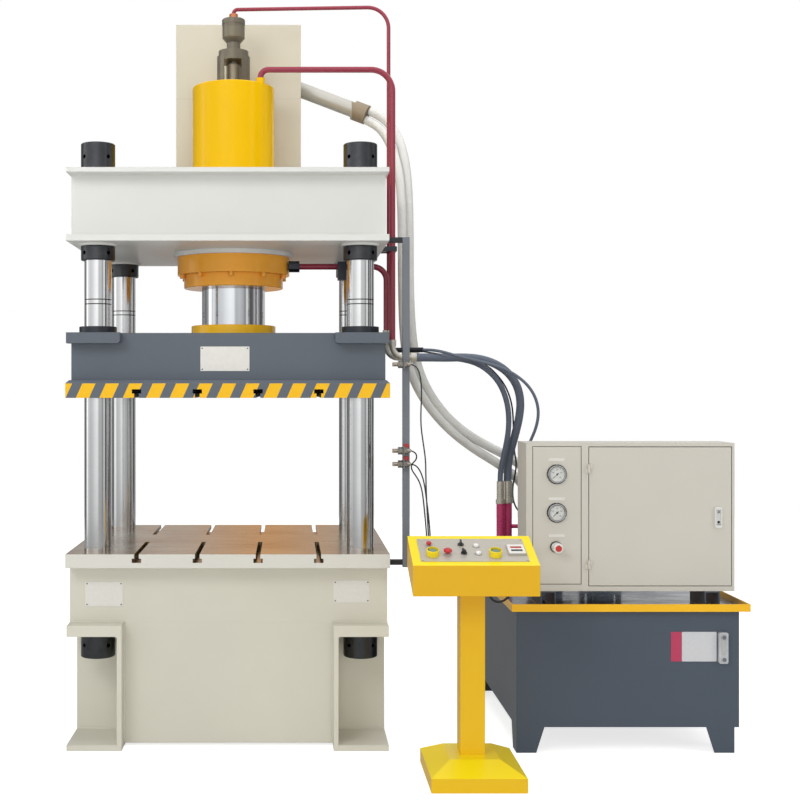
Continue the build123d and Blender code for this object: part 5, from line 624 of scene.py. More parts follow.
def float_glass(name, tint):
    """Cut float glass over a dial: clear, with a trace of haze from handling."""
    material, tree, shader, place = new_material(name)
    haze = node(tree, "ShaderNodeTexNoise", {"Vector": place, "Scale": per_metre(25), "Detail": 2.0})
    gloss = node(tree, "ShaderNodeMapRange", {"Value": haze, "To Min": 0.0, "To Max": 0.06})
    feed(tree, shader, {"Base Color": tint, "Roughness": gloss, "IOR": 1.45, "Transmission Weight": 1.0})
    return material


# ---------------------------------------------------------------- mesh helpers

def join_rings(bm, rings, slot=0, closed=True, cap_start=True, cap_end=True):
    """Faces between rings of points; a ring of one point is a tip."""
    loops = [[bm.verts.new(point) for point in ring] for ring in rings]
    faces = []
    for low, high in zip(loops, loops[1:]):
        count = max(len(low), len(high))
        for i in range(count if closed else count - 1):
            j = (i + 1) % count
            if len(low) == 1:
                corners = (low[0], high[j], high[i])
            elif len(high) == 1:
                corners = (low[i], low[j], high[0])
            else:
                corners = (low[i], low[j], high[j], high[i])
            faces.append(bm.faces.new(corners))
    if cap_start and len(loops[0]) > 2:
        faces.append(bm.faces.new(loops[0][::-1]))
    if cap_end and len(loops[-1]) > 2:
        faces.append(bm.faces.new(loops[-1]))
    for face in faces:
        face.material_index = slot
    return faces


def lathe(bm, profile, place, slot=0, steps=40, cap_start=True, cap_end=True):
    """A turned form: (radius, height) points swept round the local Z axis."""
    rings = []
    for radius, height in profile:
        count = 1 if radius == 0 else steps
        rings.append([place @ Vector((radius * math.cos(2 * math.pi * i / count),
                                      radius * math.sin(2 * math.pi * i / count), height))
                      for i in range(count)])
    return join_rings(bm, rings, slot, cap_start=cap_start, cap_end=cap_end)


def rounded_outline(width, height, radius, steps=5):
    """Points round a rectangle with rounded corners, in the local XY plane."""
    points = []
    for corner in range(4):
        side_x = 1 if corner in (0, 3) else -1
        side_y = 1 if corner in (0, 1) else -1
        for i in range(steps + 1):
            turn = math.pi / 2 * (corner + i / steps)
            points.append((side_x * (width / 2 - radius) + radius * math.cos(turn),
                           side_y * (height / 2 - radius) + radius * math.sin(turn)))
    return points


def plate(bm, place, width, height, thickness, radius=0.003, edge=0.0005, slot=0):
    """A flat plate with rounded corners and a broken front edge."""
    rings = []
    for inset, lift in ((0, 0), (0, thickness - edge), (edge, thickness)):
        rings.append([place @ Vector((x, y, lift)) for x, y in
                      rounded_outline(width - 2 * inset, height - 2 * inset, radius - inset * 0.5)])
    return join_rings(bm, rings, slot)


def hexagon(bm, place, across, height, slot=0, bore=0.0):
    """A hexagon nut or head with its corners turned off at the top."""
    corner = across / math.sqrt(3)
    rings = []
    for scale, lift in ((1.0, 0.0), (1.0, height - across * 0.06), (0.93, height)):
        rings.append([place @ Vector((corner * scale * math.cos(math.pi / 3 * i),
                                      corner * scale * math.sin(math.pi / 3 * i), lift)) for i in range(6)])
    if bore:
        for lift in (height, 0.0):
            rings.append([place @ Vector((bore * math.cos(math.pi / 3 * i),
                                          bore * math.sin(math.pi / 3 * i), lift)) for i in range(6)])
        return join_rings(bm, rings, slot, cap_start=False, cap_end=False)
    return join_rings(bm, rings, slot)


def screw(bm, place, diameter, height=0.0015, slot=0):
    """A domed cross-recess screw head."""
    r = diameter / 2
    shape = ((1, 0), (1, 0.3), (0.86, 0.75), (0.55, 1), (0.3, 0.98), (0.22, 0.55), (0, 0.5))
    lathe(bm, [(r * across, height * up) for across, up in shape], place, slot, steps=16)


def figure(bm, text, size, place, slot=0, depth=0.0002):
    """Printed figures: the built-in typeface as a thin mesh, centred on its place."""
    curve = bpy.data.curves.new("figure", "FONT")
    curve.body = text
    curve.size = size
    curve.align_x = "CENTER"
    curve.align_y = "CENTER"
    curve.resolution_u = 2
    holder = bpy.data.objects.new("figure", curve)
    mesh = bpy.data.meshes.new_from_object(holder)
    mesh.transform(place @ Matrix.Translation((0, 0, depth)))
    first = len(bm.faces)
    bm.from_mesh(mesh)
    bm.faces.ensure_lookup_table()
    for face in bm.faces[first:]:
        face.material_index = slot
    bpy.data.objects.remove(holder)
    bpy.data.curves.remove(curve)
    bpy.data.meshes.remove(mesh)


def finish_piece(name, bm, body, *materials, smooth=35):
    """Turns the mesh in the making into a named piece that rides on a body."""
    bmesh.ops.remove_doubles(bm, verts=bm.verts, dist=0.00001)
    bmesh.ops.recalc_face_normals(bm, faces=bm.faces)
    mesh = bpy.data.meshes.new(name)
    bm.to_mesh(mesh)
    bm.free()
    mesh.shade_smooth()
    mesh.set_sharp_from_angle(angle=math.radians(smooth))
    for material in materials:
        mesh.materials.append(material)
    piece = bpy.data.objects.new(name, mesh)
    bpy.context.collection.objects.link(piece)
    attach(piece, body)
    return piece


def front_face(x, y, z):
    """A place on a face that looks at the operator: local Z outward, local Y up."""
    return Matrix.Translation((x, y, z)) @ FRONTWARD


def on_console(offset, distance, lift):
    """A place on the pedestal's sloping top: across, up the slope and above it."""
    return (Matrix.Translation(CONSOLE_EDGE + Vector((offset, 0, 0)))
            @ Matrix.Rotation(CONSOLE_TILT, 4, "X") @ Matrix.Translation((0, distance, lift)))


def dress(material, *names):
    """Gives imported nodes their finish."""
    for name in names:
        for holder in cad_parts[name].material_slots:
            holder.material = material


# ---------------------------------------------------------------- cords

def lay_line(name, route):
    """The cord's line: one NURBS spline through the route's control points."""
    curve = bpy.data.curves.new(name, "CURVE")
    curve.dimensions = "3D"
    line = curve.splines.new("NURBS")
    line.points.add(len(route) - 1)
    for point, place in zip(line.points, route):
        point.co = (*place, 1.0)
    line.order_u = 3
    line.use_endpoint_u = True
    curve.resolution_u = 12
    return curve


def lay_cord(name, route, diameter, finish):
    """A plain round hose or cable on its line."""
    curve = lay_line(name + "_skin", route)
    curve.bevel_depth = diameter / 2
    curve.bevel_resolution = 7
    curve.use_fill_caps = True
    curve.materials.append(finish)
    piece = bpy.data.objects.new(name + "_skin", curve)
    bpy.context.collection.objects.link(piece)
    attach(piece, "frame")
    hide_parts(name)
    return piece


def spine_points(route, spacing):
    """Even points along the cord's own NURBS spline."""
    curve = lay_line("spine", route)
    holder = bpy.data.objects.new("spine", curve)
    mesh = bpy.data.meshes.new_from_object(holder)
    line = [vertex.co.copy() for vertex in mesh.vertices]
    bpy.data.objects.remove(holder)
    bpy.data.curves.remove(curve)
    bpy.data.meshes.remove(mesh)
    run = [0.0]
    for a, b in zip(line, line[1:]):
        run.append(run[-1] + (b - a).length)
    count = max(2, round(run[-1] / spacing))
    points = []
    i = 0
    for step in range(count + 1):
        goal = run[-1] * step / count
        while i < len(line) - 2 and run[i + 1] < goal:
            i += 1
        share = (goal - run[i]) / (run[i + 1] - run[i])
        points.append(line[i].lerp(line[i + 1], min(max(share, 0), 1)))
    return points


def carried_frames(points):
    """Tangent and two normals at each point, carried along without twist."""
    frames = []
    across = Vector((0, 1, 0))
    for i, point in enumerate(points):
        tangent = (points[min(i + 1, len(points) - 1)] - points[max(i - 1, 0)]).normalized()
        across = (across - tangent * across.dot(tangent)).normalized()
        frames.append((tangent, across, tangent.cross(across)))
    return frames


def ribbed_hose(name, route, diameter, finish):
    """A suction hose with a helix in its wall, as a shallow spiral rib."""
    sizes = bpy.context.scene.press_sizes
    points = spine_points(route, sizes.rib_pitch / 6)
    rings = []
    sides = 20
    for i, (point, (_, across, up)) in enumerate(zip(points, carried_frames(points))):
        ring = []
        for k in range(sides):
            turn = 2 * math.pi * k / sides
            rib = sizes.rib_height * (0.5 + 0.5 * math.cos(2 * math.pi * i / 6 - turn))
            radius = diameter / 2 - sizes.rib_height + rib
            ring.append(point + (across * math.cos(turn) + up * math.sin(turn)) * radius)
        rings.append(ring)
    bm = bmesh.new()
    join_rings(bm, rings)
    piece = finish_piece(name + "_skin", bm, "frame", finish, smooth=80)
    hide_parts(name)
    return piece


# ---------------------------------------------------------------- camera and stage

CAMERA_PLACE = (0.2644, -5.961, 1.572)
CAMERA_LENS_MM = 56.25
CAMERA_FILM_MM = 36
CAMERA_SHIFT = (0.13875, -0.0171)


class PRESS_OT_camera(bpy.types.Operator):
    """Places the camera where the photograph was taken from"""
    bl_idname = "press.camera"
    bl_label = "Camera"

    def execute(self, context):
        camera = bpy.data.objects.new("camera", bpy.data.cameras.new("camera"))
        camera.location = CAMERA_PLACE
        camera.rotation_euler = (math.pi / 2, 0, 0)
        camera.data.lens = CAMERA_LENS_MM
        camera.data.sensor_width = CAMERA_FILM_MM
        camera.data.shift_x, camera.data.shift_y = CAMERA_SHIFT
        context.collection.objects.link(camera)
        context.scene.camera = camera
        return {"FINISHED"}


def softbox(context, name, place, target, width, height, level):
    """An even rectangular lamp; level 1 lights a white card facing it to full white."""
    data = bpy.data.lights.new(name, "AREA")
    data.shape = "RECTANGLE"
    data.size = width
    data.size_y = height
    aim = Vector(target) - Vector(place)
    data.energy = 9.87 * aim.length_squared * level
    lamp = bpy.data.objects.new(name, data)
    lamp.location = place
    lamp.rotation_euler = aim.to_track_quat("-Z", "Y").to_euler()
    lamp.visible_camera = False
    lamp.visible_glossy = False
    context.collection.objects.link(lamp)


def stage_piece(context, name, bm, material):
    """Turns the mesh in the making into a piece of the studio."""
    mesh = bpy.data.meshes.new(name)
    bm.to_mesh(mesh)
    bm.free()
    mesh.materials.append(material)
    piece = bpy.data.objects.new(name, mesh)
    context.collection.objects.link(piece)
    return piece


# Lamps: name, place, aim, width, height and level
LAMPS = (
    ("key softbox", (-2.4, -4.8, 4.4), (0.6, 0, 1.5), 2.6, 2.0, 0.23),
    ("top softbox", (0.8, -0.6, 5.6), (0.8, 0, 1.6), 3.0, 2.4, 0.58),
    ("front fill", (0.7, -10.0, 1.5), (0.7, 0, 1.6), 4.0, 2.0, 0.17),
    ("left strip", (-3.6, -1.4, 2.4), (0, 0, 1.5), 0.5, 3.2, 0.12),
    ("right strip", (4.6, -2.2, 2.2), (1.5, 0, 1.2), 0.5, 2.6, 0.16),
)
WORLD_LEVEL = 0.47
FLOOR_LEVEL = 0.72
FLOOR_IN_METAL = 0.35
STUDIO_REACH = 9.0

# The studio's walls as reflections see them, round from the back by the left, the camera's side
# and the right: degrees from the camera's side, and how bright the wall is there.
WALL_LEVELS = ((-180, 0.95), (-174, 0.75), (-166, 0.60), (-160, 0.14), (-130, 0.18), (-114, 0.25),
               (-101, 0.50), (-96, 1.7), (-88, 1.7), (-80, 0.70), (-74, 1.1), (-66, 0.70), (-38, 0.85),
               (-24, 1.05), (-8, 1.2), (4, 1.1), (10, 0.60), (24, 0.66), (38, 0.50), (46, 0.26), (52, 1.0),
               (60, 0.95), (65, 0.10), (76, 0.14), (84, 0.55), (104, 0.60), (116, 0.10), (140, 0.14),
               (148, 0.9), (156, 0.5), (172, 0.60), (180, 0.95))


def studio_wall_paint():
    """Pale cloth between black flags: the light and dark bands that bright metal shows."""
    material = bpy.data.materials.new("studio wall cloth")
    material.use_nodes = True
    tree = material.node_tree
    tree.nodes.clear()
    place = node(tree, "ShaderNodeTexCoord").outputs["Object"]
    axes = node(tree, "ShaderNodeSeparateXYZ", {"Vector": place})
    front = node(tree, "ShaderNodeMath", {0: axes.outputs["Y"], 1: -1.0}, operation="MULTIPLY")
    turn = node(tree, "ShaderNodeMath", {0: axes.outputs["X"], 1: front}, operation="ARCTAN2")
    share = node(tree, "ShaderNodeMath", {0: turn, 1: 1 / (2 * math.pi), 2: 0.5}, operation="MULTIPLY_ADD")
    bands = node(tree, "ShaderNodeValToRGB", {"Fac": share})
    stops = bands.color_ramp.elements
    while len(stops) < len(WALL_LEVELS):
        stops.new(0.5)
    for stop, (degrees, level) in zip(stops, WALL_LEVELS):
        stop.position = degrees / 360 + 0.5
        warm = max(0.0, 1 - (180 - abs(degrees)) / 9)       # only straight behind the object
        stop.color = (level, level * (1 - 0.45 * warm), level * (1 - 0.75 * warm), 1.0)
    fade = node(tree, "ShaderNodeMapRange", {"Value": axes.outputs["Z"], "From Min": -0.5, "From Max": 3.5,
                                             "To Min": 0.6, "To Max": 1.15})
    glow = node(tree, "ShaderNodeEmission", {"Color": bands, "Strength": fade})
    node(tree, "ShaderNodeOutputMaterial", {"Surface": glow})
    return material


class PRESS_OT_studio(bpy.types.Operator):
    """Sets up the white studio: floor, world and soft lamps"""
    bl_idname = "press.studio"
    bl_label = "Studio"

    def execute(self, context):
        context.scene.view_settings.view_transform = "Standard"
        world = bpy.data.worlds.new("white studio")
        world.use_nodes = True
        context.scene.world = world
        tree = world.node_tree
        tree.nodes.clear()
        seen = node(tree, "ShaderNodeLightPath")
        direct = seen.outputs["Is Camera Ray"]
        for ray in ("Is Glossy Ray", "Is Transmission Ray"):
            direct = node(tree, "ShaderNodeMath", {0: direct, 1: seen.outputs[ray]}, operation="MAXIMUM")
        strength = node(tree, "ShaderNodeMix", {0: direct, 2: WORLD_LEVEL, 3: 1.0}, data_type="FLOAT")
        sky = node(tree, "ShaderNodeBackground", {"Color": (1, 1, 1, 1), "Strength": strength})
        node(tree, "ShaderNodeOutputWorld", {"Surface": sky})

        for lamp in LAMPS:
            softbox(context, *lamp)

        bm = bmesh.new()
        lathe(bm, ((STUDIO_REACH, -0.5), (STUDIO_REACH, 7.0)), Matrix.Translation((0.6, 0, 0)), steps=96,
              cap_start=False, cap_end=False)
        walls = stage_piece(context, "studio_walls", bm, studio_wall_paint())
        for ray in ("camera", "diffuse", "transmission", "shadow"):
            setattr(walls, "visible_" + ray, False)

        bm = bmesh.new()
        corners = ((-1, -1), (1, -1), (1, 1), (-1, 1))
        bm.faces.new([bm.verts.new((x * STUDIO_REACH, y * STUDIO_REACH, -0.001)) for x, y in corners])
        stage_piece(context, "studio_floor", bm, studio_floor_paint())
        return {"FINISHED"}


def studio_floor_paint():
    """Matt floor, white except where the object shades it. Reflections see it as a darker grey, a painted
    shade for reflection rays only, which gives bright steel and gloss paint a darker lower half."""
    material, tree, shader, place = new_material("white studio floor")
    seen = node(tree, "ShaderNodeLightPath")
    direct = node(tree, "ShaderNodeMath",
                  {0: seen.outputs["Is Camera Ray"], 1: seen.outputs["Is Transmission Ray"]},
                  operation="MAXIMUM")
    mirrored = node(tree, "ShaderNodeMath", {0: seen.outputs["Is Glossy Ray"], 1: FLOOR_IN_METAL},
                    operation="MULTIPLY")
    either = node(tree, "ShaderNodeMath", {0: direct, 1: mirrored}, operation="MAXIMUM")
    glow = node(tree, "ShaderNodeMath", {0: either, 1: FLOOR_LEVEL}, operation="MULTIPLY")
    # painted shade: reflection rays see the floor grey, while the camera sees it white
    tone = node(tree, "ShaderNodeMix", {0: seen.outputs["Is Glossy Ray"], 6: linear("#EDEDEB"),
                                        7: linear("#6E6C68")}, data_type="RGBA")
    feed(tree, shader, {"Base Color": tone.outputs[2], "Roughness": 0.9, "Specular IOR Level": 0.1,
                        "Emission Color": (1, 1, 1, 1), "Emission Strength": glow})
    return material


class PRESS_OT_hoses(bpy.types.Operator):
    """Lays the two main hoses and the pilot hose"""
    bl_idname = "press.hoses"
    bl_label = "Rubber hoses"

    def execute(self, context):
        rubber = wrapped_rubber("wrapped hose rubber", linear("#626A79"))
        lay_cord("main_hose_1", HOSE_1_ROUTE, 0.026, rubber)
        lay_cord("main_hose_2", HOSE_2_ROUTE, 0.039, rubber)
        lay_cord("pilot_hose", PILOT_ROUTE, 0.014, rubber)
        return {"FINISHED"}


class PRESS_OT_return_hoses(bpy.types.Operator):
    """Lays the two clear hoses from the fill tank to the oil tank"""
    bl_idname = "press.return_hoses"
    bl_label = "Return hoses"

    def execute(self, context):
        pvc = clear_pvc("clear extruded pvc")
        ribbed_hose("return_hose_1", RETURN_1_ROUTE, 0.045, pvc)
        ribbed_hose("return_hose_2", RETURN_2_ROUTE, 0.045, pvc)
        return {"FINISHED"}


class PRESS_OT_cables(bpy.types.Operator):
    """Lays the signal, sensor and pedestal cables"""
    bl_idname = "press.cables"
    bl_label = "Cables"

    def execute(self, context):
        jacket = cable_jacket("extruded pvc jacket", linear("#1E1F22"))
        lay_cord("signal_cable", SIGNAL_ROUTE, 0.008, jacket)
        lay_cord("sensor_cable_1", CABLE_1_ROUTE, 0.006, jacket)
        lay_cord("sensor_cable_2", CABLE_2_ROUTE, 0.006, jacket)
        lay_cord("sensor_cable_3", CABLE_3_ROUTE, 0.006, jacket)
        lay_cord("console_cable", CONSOLE_CABLE_ROUTE, 0.010, jacket)
        return {"FINISHED"}


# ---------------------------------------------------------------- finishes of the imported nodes

class PRESS_OT_paints(bpy.types.Operator):
    """Paints the castings, frames, tanks and sheet metal"""
    bl_idname = "press.paints"
    bl_label = "Paints"

    def execute(self, context):
        paints = context.scene.press_paints
        base = sprayed_enamel("sprayed base enamel", paints.base, 0.34)
        # painted shade: the fill tank has the base's enamel, given here as a darker copy against the key lamp's
        # light on its left
        tank = outlet_pipe(weld_seam(sprayed_enamel("sprayed fill tank enamel", linear("#CAC4B2"), 0.36,
                                                    drift=0.06), TANK_SEAM_Z))
        dress(base, "base_frame")
        dress(tank, "fill_tank")
        dress(sprayed_enamel("sprayed crosshead enamel", paints.crosshead, 0.32), "crosshead")
        dress(striped_enamel("striped platen enamel", paints.slate, linear("#F0B90F")), "platen")
        dress(sprayed_enamel("sprayed oil tank enamel", linear("#4F5864"), 0.34, shine=0.3), "tank_shell")
        dress(two_coat_enamel("gloss cylinder enamel", paints.yellow, linear("#F9AF42"), FLANGE_COAT_Z),
              "cylinder_barrel", "gland_ring", "flange_bolts")
        # painted light: the collar has the cylinder's yellow, given here as a brighter copy against the shade
        # it sits in
        dress(sprayed_enamel("gloss collar enamel", linear("#FFC404"), 0.24, 0.3), "ram_collar")
        dress(sprayed_enamel("gloss pipe enamel", paints.pipes, 0.2, 0.6, 0.06), "pilot_pipe",
              "pressure_pipe", "rod_pipe")
        dress(sprayed_enamel("gloss supply pipe enamel", linear("#CC4276"), 0.26, 0.2, 0.06), "supply_pipes")
        dress(sprayed_enamel("brushed rim enamel", linear("#F8BE1E"), 0.3, 0.1, 0.08), "drip_rim")
        dress(pedestal_enamel("baked pedestal enamel", paints.console, linear("#FFE310")), "console_box",
              "console_stand")
        dress(panel_joint(powder_coat("powder-coated shell", paints.cabinet)), "cabinet_shell")
        dress(powder_coat("powder-coated sheet", paints.cabinet), "cabinet_door")
        dress(mast_enamel("sprayed mast enamel"), "sensor_mast")
        dress(sprayed_enamel("sprayed motor enamel", linear("#5E636B"), 0.4), "motor")
        dress(oily_lid("oiled black enamel"), "tank_lid")
        return {"FINISHED"}


class PRESS_OT_metals(bpy.types.Operator):
    """Finishes the ground, milled, plated and blackened steel"""
    bl_idname = "press.metals"
    bl_label = "Metals"

    def execute(self, context):
        dress(ground_chrome("ground chromed shaft", linear("#E6E7E8"), 0.12, grooves=COLUMN_GROOVES), "columns")
        dress(ground_chrome("chromed ram", linear("#DDE0E3"), 0.08), "ram")
        dress(milled_table("milled cast steel", linear("#D6D4CB"), linear("#A39478")), "table_plate")
        dress(treated_steel("black-oxide steel", linear("#56585B"), 0.34), "column_nuts")
        dress(treated_steel("blackened bush steel", linear("#4B4E54"), 0.36), "guide_bushes")
        dress(treated_steel("zinc-plated fittings", linear("#DCD7CB"), 0.26, 1.4, 0.65), "hose_fittings")
        dress(treated_steel("blackened line fittings", linear("#4E5158"), 0.38), "line_fittings")
        dress(valve_steel("phosphated valve body"), "prefill_body", "prefill_cap")
        dress(treated_steel("phosphated poppet steel", linear("#A69D8A"), 0.4, 1.6, 0.3), "prefill_poppet")
        dress(treated_steel("blackened manifold steel", linear("#55585D"), 0.36), "valve_manifold", "pump")
        dress(treated_steel("turned rotor steel", linear("#AFB1B3"), 0.3), "motor_rotor")
        dress(treated_steel("satin nickel lever", linear("#E0E0DE"), 0.4, metallic=0.3), "door_handle")
        dress(threaded_brass("nickel-plated brass"), "proximity_sensors")
        dress(brushed_panel("brushed anodised aluminium", linear("#C9C3B8")), "console_panel")
        return {"FINISHED"}


class PRESS_OT_mouldings(bpy.types.Operator):
    """Finishes the moulded buttons, switches, knob and gauge cases"""
    bl_idname = "press.mouldings"
    bl_label = "Mouldings"

    def execute(self, context):
        dress(moulded_abs("moulded green abs", linear("#6F8A78")), "green_button_left", "green_button_right")
        dress(moulded_abs("moulded relay cases", linear("#5A5E64"), 0.4), "cabinet_gear")
        dress(moulded_abs("moulded red abs", linear("#C5282C"), 0.24), "stop_button", "reset_button")
        dress(moulded_abs("moulded black abs", linear("#232427")), "selector_left", "selector_right")
        dress(treated_steel("die-cast gauge frame", linear("#C9CBCE"), 0.4, 1.2, 0.2), "level_gauge")
        dress(moulded_abs("moulded yellow abs", linear("#F2D81C")), "button_shrouds")
        dress(moulded_abs("moulded white abs", linear("#E9E9E5"), 0.26), "pressure_knob")
        dress(moulded_abs("moulded gauge case", linear("#2A2B2D"), 0.4), "pressure_gauges")
        dress(moulded_abs("painted needle", linear("#1B1B1D"), 0.4), "gauge_needle_1", "gauge_needle_2")
        return {"FINISHED"}


# ---------------------------------------------------------------- small fittings

class PRESS_OT_plates(bpy.types.Operator):
    """Screws blank plates to the base, the platen, the tank and the cabinet"""
    bl_idname = "press.plates"
    bl_label = "Blank plates"

    def execute(self, context):
        thickness = context.scene.press_sizes.plate_thickness
        pale = printed_plate("screen-printed plate", linear("#DEDCD5"))
        zinc = treated_steel("blackened screw", linear("#4A4743"), 0.4, 1.0)
        for name, body, x, y, z, width, height in (
                ("platen_plate", "press_slide", -0.015, PLATEN_FACE_Y, 1.692, 0.214, 0.107),
                ("base_plate_left", "frame", -0.545, BASE_FACE_Y, 0.663, 0.165, 0.107),
                ("base_plate_right", "frame", 0.538, BASE_FACE_Y, 0.674, 0.159, 0.097)):
            bm = bmesh.new()
            plate(bm, front_face(x, y, z), width, height, thickness)
            for side, rise in CORNERS:
                screw(bm, front_face(x + side * (width / 2 - 0.008), y - thickness,
                                     z + rise * (height / 2 - 0.008)), 0.006, slot=1)
            finish_piece(name, bm, body, pale, zinc)

        bm = bmesh.new()
        plate(bm, front_face(1.925, TANK_FACE_Y, 0.4555), 0.046, 0.127, thickness, slot=0)
        plate(bm, front_face(2.0235, TANK_FACE_Y, 0.4555), 0.149, 0.127, thickness, slot=1)
        finish_piece("tank_plate", bm, "frame", printed_plate("printed red field", linear("#BC3A5E")),
                     printed_plate("printed grey field", linear("#CFD0D3")))

        bm = bmesh.new()
        for z in LABEL_HEIGHTS:
            plate(bm, front_face(GAUGE_X, CABINET_FACE_Y, z), 0.068, 0.012, 0.0008, 0.001, 0.0003)
        finish_piece("cabinet_labels", bm, "frame", pale)
        return {"FINISHED"}


class PRESS_OT_gauges(bpy.types.Operator):
    """Fits dials, bezels and glasses to the two pressure gauges"""
    bl_idname = "press.gauges"
    bl_label = "Pressure gauges"

    def execute(self, context):
        chrome = treated_steel("polished chromed bezel", linear("#DADBDC"), 0.1, 3.0)
        dial = printed_plate("printed enamel dial", linear("#EFEEE8"), 0.4)
        ink = printed_plate("printed dial figures", linear("#1C1D20"), 0.5)
        glass = float_glass("cut float glass", linear("#FBFCFC"))
        start, sweep, full = 225, 270, 40       # degrees, and the dial's last figure
        for number, z in enumerate(GAUGE_HEIGHTS, 1):
            place = front_face(GAUGE_X, CABINET_FACE_Y, z)
            bm = bmesh.new()
            lathe(bm, ((0.0386, 0.0029), (0.0386, 0.0115), (0.0376, 0.0131), (0.0350, 0.0137),
                       (0.0332, 0.0131), (0.0322, 0.0120), (0.0318, 0.0080)), place,
                  steps=64, cap_start=False, cap_end=False)
            for turn in range(8):
                spot = (place @ Matrix.Rotation(turn * math.pi / 4, 4, "Z")
                        @ Matrix.Translation((0.0408, 0, 0.003)))
                lathe(bm, ((0.0014, 0), (0.0014, 0.0005), (0, 0.0008)), spot, 0, 12)
            lathe(bm, ((0.0319, 0.00745), (0.0, 0.00755)), place, 1, 64, cap_start=False)
            for step in range(full + 1):
                turn = math.radians(start - sweep * step / full)
                long = step % 5 == 0
                spot = (place @ Matrix.Rotation(turn, 4, "Z")
                        @ Matrix.Translation((0.0285 - (0.002 if long else 0.0008), 0, 0.00757)))
                plate(bm, spot, 0.005 if long else 0.0026, 0.0009 if long else 0.0005, 0.0002,
                      0.0002, 0.00005, 2)
            for value in range(0, full + 1, 10):
                turn = math.radians(start - sweep * value / full)
                spot = place @ Matrix.Translation((0.0192 * math.cos(turn), 0.0192 * math.sin(turn), 0.0077))
                figure(bm, str(value), 0.0085, spot, 2)
            finish_piece("gauge_dial_%d" % number, bm, "frame", chrome, dial, ink)
            bm = bmesh.new()
            lathe(bm, ((0.0, 0.0118), (0.0321, 0.0118), (0.0321, 0.0124), (0.0, 0.0130)), place, steps=64)
            finish_piece("gauge_glass_%d" % number, bm, "frame", glass)
        return {"FINISHED"}


class PRESS_OT_knob(bpy.types.Operator):
    """Fits the red cap and the grip ribs to the regulator knob"""
    bl_idname = "press.knob"
    bl_label = "Regulator knob"

    def execute(self, context):
        place = front_face(KNOB_PLACE[0], CABINET_FACE_Y, KNOB_PLACE[1])
        bm = bmesh.new()
        lathe(bm, ((0.0142, 0.0578), (0.0142, 0.0606), (0.0134, 0.0615), (0.0, 0.0618)), place, 1)
        for i in range(20):
            spot = place @ Matrix.Rotation(i * math.pi / 10, 4, "Z") @ Matrix.Translation((0.0209, 0, 0))
            lathe(bm, ((0.0012, 0.022), (0.0014, 0.024), (0.0014, 0.052), (0.0006, 0.054)), spot, 0, 8)
        finish_piece("knob_trim", bm, "knob", moulded_abs("moulded knob grip", linear("#E4E4E0"), 0.3),
                     moulded_abs("moulded knob cap", linear("#C33A34"), 0.26))
        return {"FINISHED"}


class PRESS_OT_pedestal(bpy.types.Operator):
    """Fits bezels, lamp lenses, the display and screws to the pedestal's panel"""
    bl_idname = "press.pedestal"
    bl_label = "Pedestal controls"

    def execute(self, context):
        chrome = treated_steel("chromed switch ring", linear("#D2D3D4"), 0.16)
        white = moulded_abs("moulded lamp lens", linear("#F1F0EA"), 0.14)
        label = printed_plate("printed switch label", linear("#E9E8E2"))
        bm = bmesh.new()
        for x, y in LAMP_PLACES:
            lathe(bm, ((0.0107, 0.0058), (0.0107, 0.0105), (0.0098, 0.0124), (0.0070, 0.0134), (0.0, 0.0138)),
                  on_console(x, y, 0), 1)
            lathe(bm, ((0.0150, 0.0029), (0.0150, 0.0052), (0.0140, 0.0064), (0.0110, 0.0064)),
                  on_console(x, y, 0), 0, cap_end=False)
        for side, rise in CORNERS:
            screw(bm, on_console(side * 0.207, 0.1245 + rise * 0.088, 0.003), 0.008, 0.002, slot=0)
        finish_piece("lamp_lenses", bm, "frame", chrome, white)

        bm = bmesh.new()
        x, y = DISPLAY_PLACE
        plate(bm, on_console(x, y, 0.0108), 0.066, 0.074, 0.0012, 0.003, 0.0004, 0)
        plate(bm, on_console(x, y + 0.012, 0.0119), 0.046, 0.014, 0.0008, 0.001, 0.0002, 1)
        plate(bm, on_console(x, y - 0.014, 0.0119), 0.046, 0.014, 0.0008, 0.001, 0.0002, 2)
        finish_piece("display_face", bm, "frame", label,
                     float_glass("smoked red window", linear("#D0322E")),
                     float_glass("smoked window", linear("#34363A")))
        return {"FINISHED"}


class PRESS_OT_sight_glass(bpy.types.Operator):
    """Fits the sight glass and bolts to the oil level gauge"""
    bl_idname = "press.sight_glass"
    bl_label = "Sight glass"

    def execute(self, context):
        low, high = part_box("level_gauge")
        x = (low.x + high.x) / 2
        z = (low.z + high.z) / 2
        bm = bmesh.new()
        plate(bm, front_face(x, TANK_FACE_Y - 0.0178, z), 0.020, 0.060, 0.0012, 0.009, 0.0004)
        finish_piece("sight_glass", bm, "frame", moulded_abs("clear moulded window", linear("#B4B5B4"), 0.08))
        bm = bmesh.new()
        for side in (-1, 1):
            lathe(bm, ((0.0088, 0.0255), (0.0088, 0.0262), (0.006, 0.0266), (0.0, 0.0266)),
                  front_face(x, TANK_FACE_Y, z + side * 0.0475), 0, 24)
        finish_piece("sight_glass_bolts", bm, "frame",
                     treated_steel("zinc-plated bolt face", linear("#8B8D91"), 0.4, 1.0, 0.6))
        return {"FINISHED"}


class PRESS_OT_mast_clips(bpy.types.Operator):
    """Clips the two red cable holders to the sensor mast"""
    bl_idname = "press.mast_clips"
    bl_label = "Mast clips"

    def execute(self, context):
        bm = bmesh.new()
        for z in CLIP_HEIGHTS:
            plate(bm, front_face(MAST_X, MAST_FACE_Y, z), 0.024, 0.019, 0.004, 0.003, 0.001)
        finish_piece("mast_clips", bm, "frame", moulded_abs("moulded red clip", linear("#B4302F"), 0.35))
        return {"FINISHED"}


